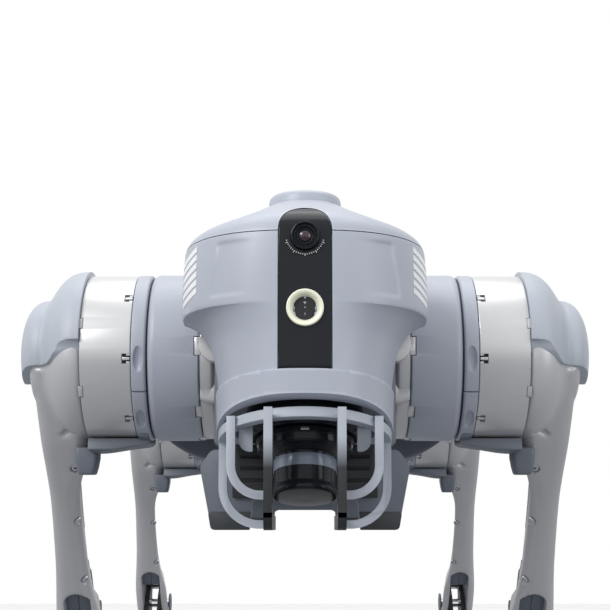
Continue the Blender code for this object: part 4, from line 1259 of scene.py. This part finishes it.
def belly():
    end = MIDDLE_END - 0.001
    pan = block((-0.0440, -end, -0.0650), (0.0440, end, TRUNK_BOTTOM - 0.0003), 0.005, 4)
    keel = block((-0.0240, -0.2540, -0.0640), (0.0240, 0.2540, TRUNK_BOTTOM - 0.0003), 0.002, 2)
    union(pan, keel)
    outline = [(-0.0540, -0.0640), (-0.0478, PAD_BOTTOM), (0.0478, PAD_BOTTOM), (0.0540, -0.0640),
               (0.0480, -0.0553), (-0.0480, -0.0553)]
    for side in (-1, 1):
        low, high = sorted((side * (HIP_Y + 0.0521), side * (BULKHEAD_END - 0.0010)))
        union(pan, prism(fillet(outline, 0.0025, 4), "XZ", low, high))
    for k in range(8):
        y = -0.0770 + 0.0220 * k
        minus(pan, block((-0.0300, y - 0.0030, -0.07), (0.0300, y + 0.0030, -0.0638), 0.0012, 2))
    for side in (-1, 1):
        low, high = sorted((side * (HIP_Y + 0.0400), side * (BULKHEAD_END + 0.0100)))
        minus(pan, prism(NOTCH, "XZ", low, high))
    return rounded(pan, 0.0006, 2, 40)


NOTCH = ((-0.0300, -0.1100), (-0.0270, -0.0815), (-0.0240, -0.0800), (0.0240, -0.0800), (0.0270, -0.0815),
         (0.0300, -0.1100))


def belly_pads():
    """Dark rubber soles on the two belly blocks."""
    pads = []
    for side in (-1, 1):
        low, high = sorted((side * (HIP_Y + 0.0516), side * (BULKHEAD_END - 0.0005)))
        outline = [(-0.0497, -0.0870), (-0.0481, PAD_BOTTOM - 0.0003), (0.0481, PAD_BOTTOM - 0.0003),
                   (0.0497, -0.0870)]
        pad = prism(fillet(outline, 0.0022, 4), "XZ", low, high)
        minus(pad, prism(NOTCH, "XZ", low - 0.01, high + 0.01))
        pads.append(rounded(pad, 0.0004, 2))
    return joined(*pads)


BATTERY_FACE = TRUNK_HALF + 0.0026
BUTTON_PLACE = (0.0450, 0.0180)


def battery():
    pack = block((0.0056, -0.0714, -0.0394), (BATTERY_FACE, 0.0714, 0.0394), 0.0030, 4)
    for k in range(6):
        z = -0.0290 + 0.0080 * k
        minus(pack, block((BATTERY_FACE - 0.0012, -0.0600, z - 0.0017), (0.07, 0.0270, z + 0.0017),
                          0.0012, 3))
    minus(pack, block((BATTERY_FACE - 0.0030, -0.0640, 0.0215), (0.07, -0.0300, 0.0335), 0.0025, 3))
    minus(pack, rod("X", 0.0098, 0.0400, 0.0600, across=BUTTON_PLACE, steps=64))
    return rounded(pack, 0.0005, 2, 40)


def battery_latch():
    latch = block((BATTERY_FACE - 0.0040, -0.0632, 0.0222), (BATTERY_FACE - 0.0002, -0.0308, 0.0328),
                  0.0016, 4)
    for k in range(5):
        y = -0.0560 + 0.0045 * k
        minus(latch, block((BATTERY_FACE - 0.0010, y, 0.0240), (0.07, y + 0.0018, 0.0310), 0.0004, 2))
    return latch


def button_ring():
    ring = turned([(0.0460, 0.0093), (0.0460, 0.0110), (0.0500, 0.0108), (0.0500, 0.0095)], "X", 96, 0.0003)
    return moved(ring, at(0.0, *BUTTON_PLACE))


def button():
    cap = [(0.0420, 0.0), (0.0420, 0.0089), (0.0503, 0.0089), (0.0511, 0.0080), (0.0508, 0.0)]
    thing = turned(cap, "X", 96, 0.0006)
    dish = turned([(0.0505, 0.0034), (0.0505, 0.0038), (0.0530, 0.0038), (0.0530, 0.0034)], "X", 64, 0.0001)
    return moved(minus(thing, dish), at(0.0, *BUTTON_PLACE))


def battery_lights():
    """Four charge lamps beside the button."""
    starts = [0.0360 + 0.0052 * k for k in range(4)]
    return joined(*[block((BATTERY_FACE - 0.0004, y, -0.0060), (BATTERY_FACE + 0.0002, y + 0.0032, -0.0048),
                          0.0002, 2) for y in starts])


def tail():
    rings = []
    stations = [(BULKHEAD_END + 0.0003, 0.0), (0.2700, 0.0010), (0.2800, 0.0060), (0.2858, 0.0145)]
    for y, shrink in curve_through(stations, 6):
        rings.append([(x, y, z + 0.001) for x, z in superellipse(0.0500 - shrink, 0.0500 - shrink, 3.2)])
    cover = loft(rings)
    minus(cover, block((-0.0240, 0.2838, -0.0160), (0.0240, 0.30, 0.0120), 0.0020, 3))
    for k in range(5):
        z = 0.0180 + 0.0036 * k
        minus(cover, block((-0.0200, 0.2836, z - 0.0009), (0.0200, 0.30, z + 0.0009), 0.0005, 2))
    return rounded(cover, 0.0006, 2, 45)


def tail_ports():
    """The covered sockets in the tail."""
    ports = [block((-0.0232, 0.2836, -0.0152), (0.0232, 0.2846, 0.0112), 0.0006, 2)]
    for x, half in ((-0.0150, 0.0050), (-0.0020, 0.0045), (0.0120, 0.0070)):
        ports.append(block((x - half, 0.2842, -0.0060), (x + half, 0.2856, 0.0030), 0.0008, 3))
    return joined(*ports)


def build_trunk():
    trunk_piece("chassis", chassis(), SLATE, "dark_blue_plastic", "trunk_frame")
    trunk_piece("roll_motor_faces", bay_faces(), DARK, "dark_blue_plastic")
    trunk_piece("roll_motor_screws", bay_screws(), STEEL, "polished_steel")
    trunk_piece("deck", deck(), BLUE_GREY, "blue_grey_plastic", "top_cover")
    plate, deck_screws = deck_parts()
    trunk_piece("deck_grille", plate, DARK, "battery_plastic")
    trunk_piece("deck_screws", deck_screws, STEEL, "polished_steel")
    trunk_piece("belly_pan", belly(), SLATE, "dark_blue_plastic", "belly_cover")
    trunk_piece("belly_soles", belly_pads(), DARK, "black_rubber")
    trunk_piece("battery_pack", battery(), DARK, "battery_plastic", "battery")
    trunk_piece("battery_latch", battery_latch(), SLATE, "dark_blue_plastic")
    trunk_piece("button_ring", button_ring(), CHROME, "silver_paint")
    trunk_piece("battery_lights", battery_lights(), WHITE, "battery_plastic")
    trunk_piece("power_key", button(), SILVER, "silver_paint", "power_button", body="power_button")
    trunk_piece("tail_cover", tail(), BLUE_GREY, "blue_grey_plastic", "rear_cover")
    trunk_piece("tail_ports", tail_ports(), DARK, "battery_plastic")


# ---------------------------------------------------------------- CAD nodes that stay
def dress_cad():
    """Better finishes for the CAD nodes that are shown as they are."""
    finishes = {"knee_pin": STEEL, "crank": STEEL, "push_rod": STEEL, "shin": PAINT}
    for name, thing in frame["nodes"].items():
        finish = finishes.get(name[3:])
        if finish and not thing.hide_render:
            for slot in thing.material_slots:
                slot.material = finish


# ---------------------------------------------------------------- stage, camera and lights
CAMERA_AHEAD = 0.728          # in front of the front hip axes
CAMERA_BELOW = 0.0942         # under the hip axes
CAMERA_PITCH = 6.5            # degrees upwards
CAMERA_LENS = 76.5
CAMERA_RISE = 0.12            # vertical shift, in picture widths
WORLD_ABOVE = (1.0, 1.0, 1.0)
WORLD_BELOW = (0.36, 0.37, 0.39)
FLOOR_HALF = 3.6


def build_camera():
    camera = bpy.data.objects.new("camera", bpy.data.cameras.new("camera"))
    camera.data.lens = CAMERA_LENS
    camera.data.sensor_width = 36.0
    camera.location = (0.0, FRONT_HIP.y - CAMERA_AHEAD, HIP_Z - CAMERA_BELOW)
    camera.data.shift_y = CAMERA_RISE
    camera.rotation_euler = (math.radians(90 + CAMERA_PITCH), 0.0, 0.0)
    bpy.context.scene.collection.objects.link(camera)
    bpy.context.scene.camera = camera


def build_world():
    """A white studio: bright above the horizon and dim below it, with white behind."""
    world = bpy.data.worlds.new("studio")
    bpy.context.scene.world = world
    world.use_nodes = True
    tree = world.node_tree
    tree.nodes.clear()
    place = tree.nodes.new("ShaderNodeTexCoord")
    split = tree.nodes.new("ShaderNodeSeparateXYZ")
    ramp = tree.nodes.new("ShaderNodeValToRGB")
    ramp.color_ramp.elements[0].position = 0.49
    ramp.color_ramp.elements[0].color = (*WORLD_BELOW, 1.0)
    ramp.color_ramp.elements[1].position = 0.51
    ramp.color_ramp.elements[1].color = (*WORLD_ABOVE, 1.0)
    scale = tree.nodes.new("ShaderNodeMapRange")
    scale.inputs["From Min"].default_value = -1.0
    studio = tree.nodes.new("ShaderNodeBackground")
    studio.inputs["Strength"].default_value = 0.95
    behind = tree.nodes.new("ShaderNodeBackground")
    behind.inputs["Color"].default_value = (1.0, 1.0, 1.0, 1.0)
    behind.inputs["Strength"].default_value = 1.0
    path = tree.nodes.new("ShaderNodeLightPath")
    choose = tree.nodes.new("ShaderNodeMixShader")
    output = tree.nodes.new("ShaderNodeOutputWorld")
    for source, target in (
        (place.outputs["Generated"], split.inputs["Vector"]),
        (split.outputs["Z"], scale.inputs["Value"]),
        (scale.outputs["Result"], ramp.inputs["Fac"]),
        (ramp.outputs["Color"], studio.inputs["Color"]),
        (path.outputs["Is Camera Ray"], choose.inputs["Fac"]),
        (studio.outputs["Background"], choose.inputs[1]),
        (behind.outputs["Background"], choose.inputs[2]),
        (choose.outputs["Shader"], output.inputs["Surface"]),
    ):
        tree.links.new(source, target)


def area_light(name, place, aim, size, power, colour=(1.0, 1.0, 1.0)):
    lamp = bpy.data.lights.new(name, "AREA")
    lamp.shape = "DISK"
    lamp.size = size
    lamp.energy = power
    lamp.color = colour
    holder = bpy.data.objects.new(name, lamp)
    holder.location = place
    holder.rotation_euler = (Vector(aim) - Vector(place)).to_track_quat("-Z", "Y").to_euler()
    bpy.context.scene.collection.objects.link(holder)


def build_stage():
    floor = block((-FLOOR_HALF, -FLOOR_HALF, -0.02), (FLOOR_HALF, FLOOR_HALF, 0.0))
    floor.name = "floor"
    floor.data.materials.append(finish_of("pale_floor", (0.90, 0.90, 0.90), 0.65, wear=1.0, grain=300.0,
                                          grain_depth=0.05))
    floor.visible_diffuse = False
    floor.visible_glossy = False
    area_light("key", (-1.5, -1.9, 1.7), (0.0, -0.1, 0.35), 1.3, 34.0)
    area_light("fill", (1.9, -1.5, 0.8), (0.0, -0.1, 0.35), 1.5, 8.0, (0.95, 0.97, 1.0))
    area_light("top", (0.0, 0.2, 2.4), (0.0, 0.0, 0.3), 1.8, 14.0)
    bpy.context.scene.view_settings.view_transform = "Standard"


build_camera()
build_world()
build_stage()
build_legs()
build_head()
build_scanner()
build_guard()
build_trunk()
dress_cad()
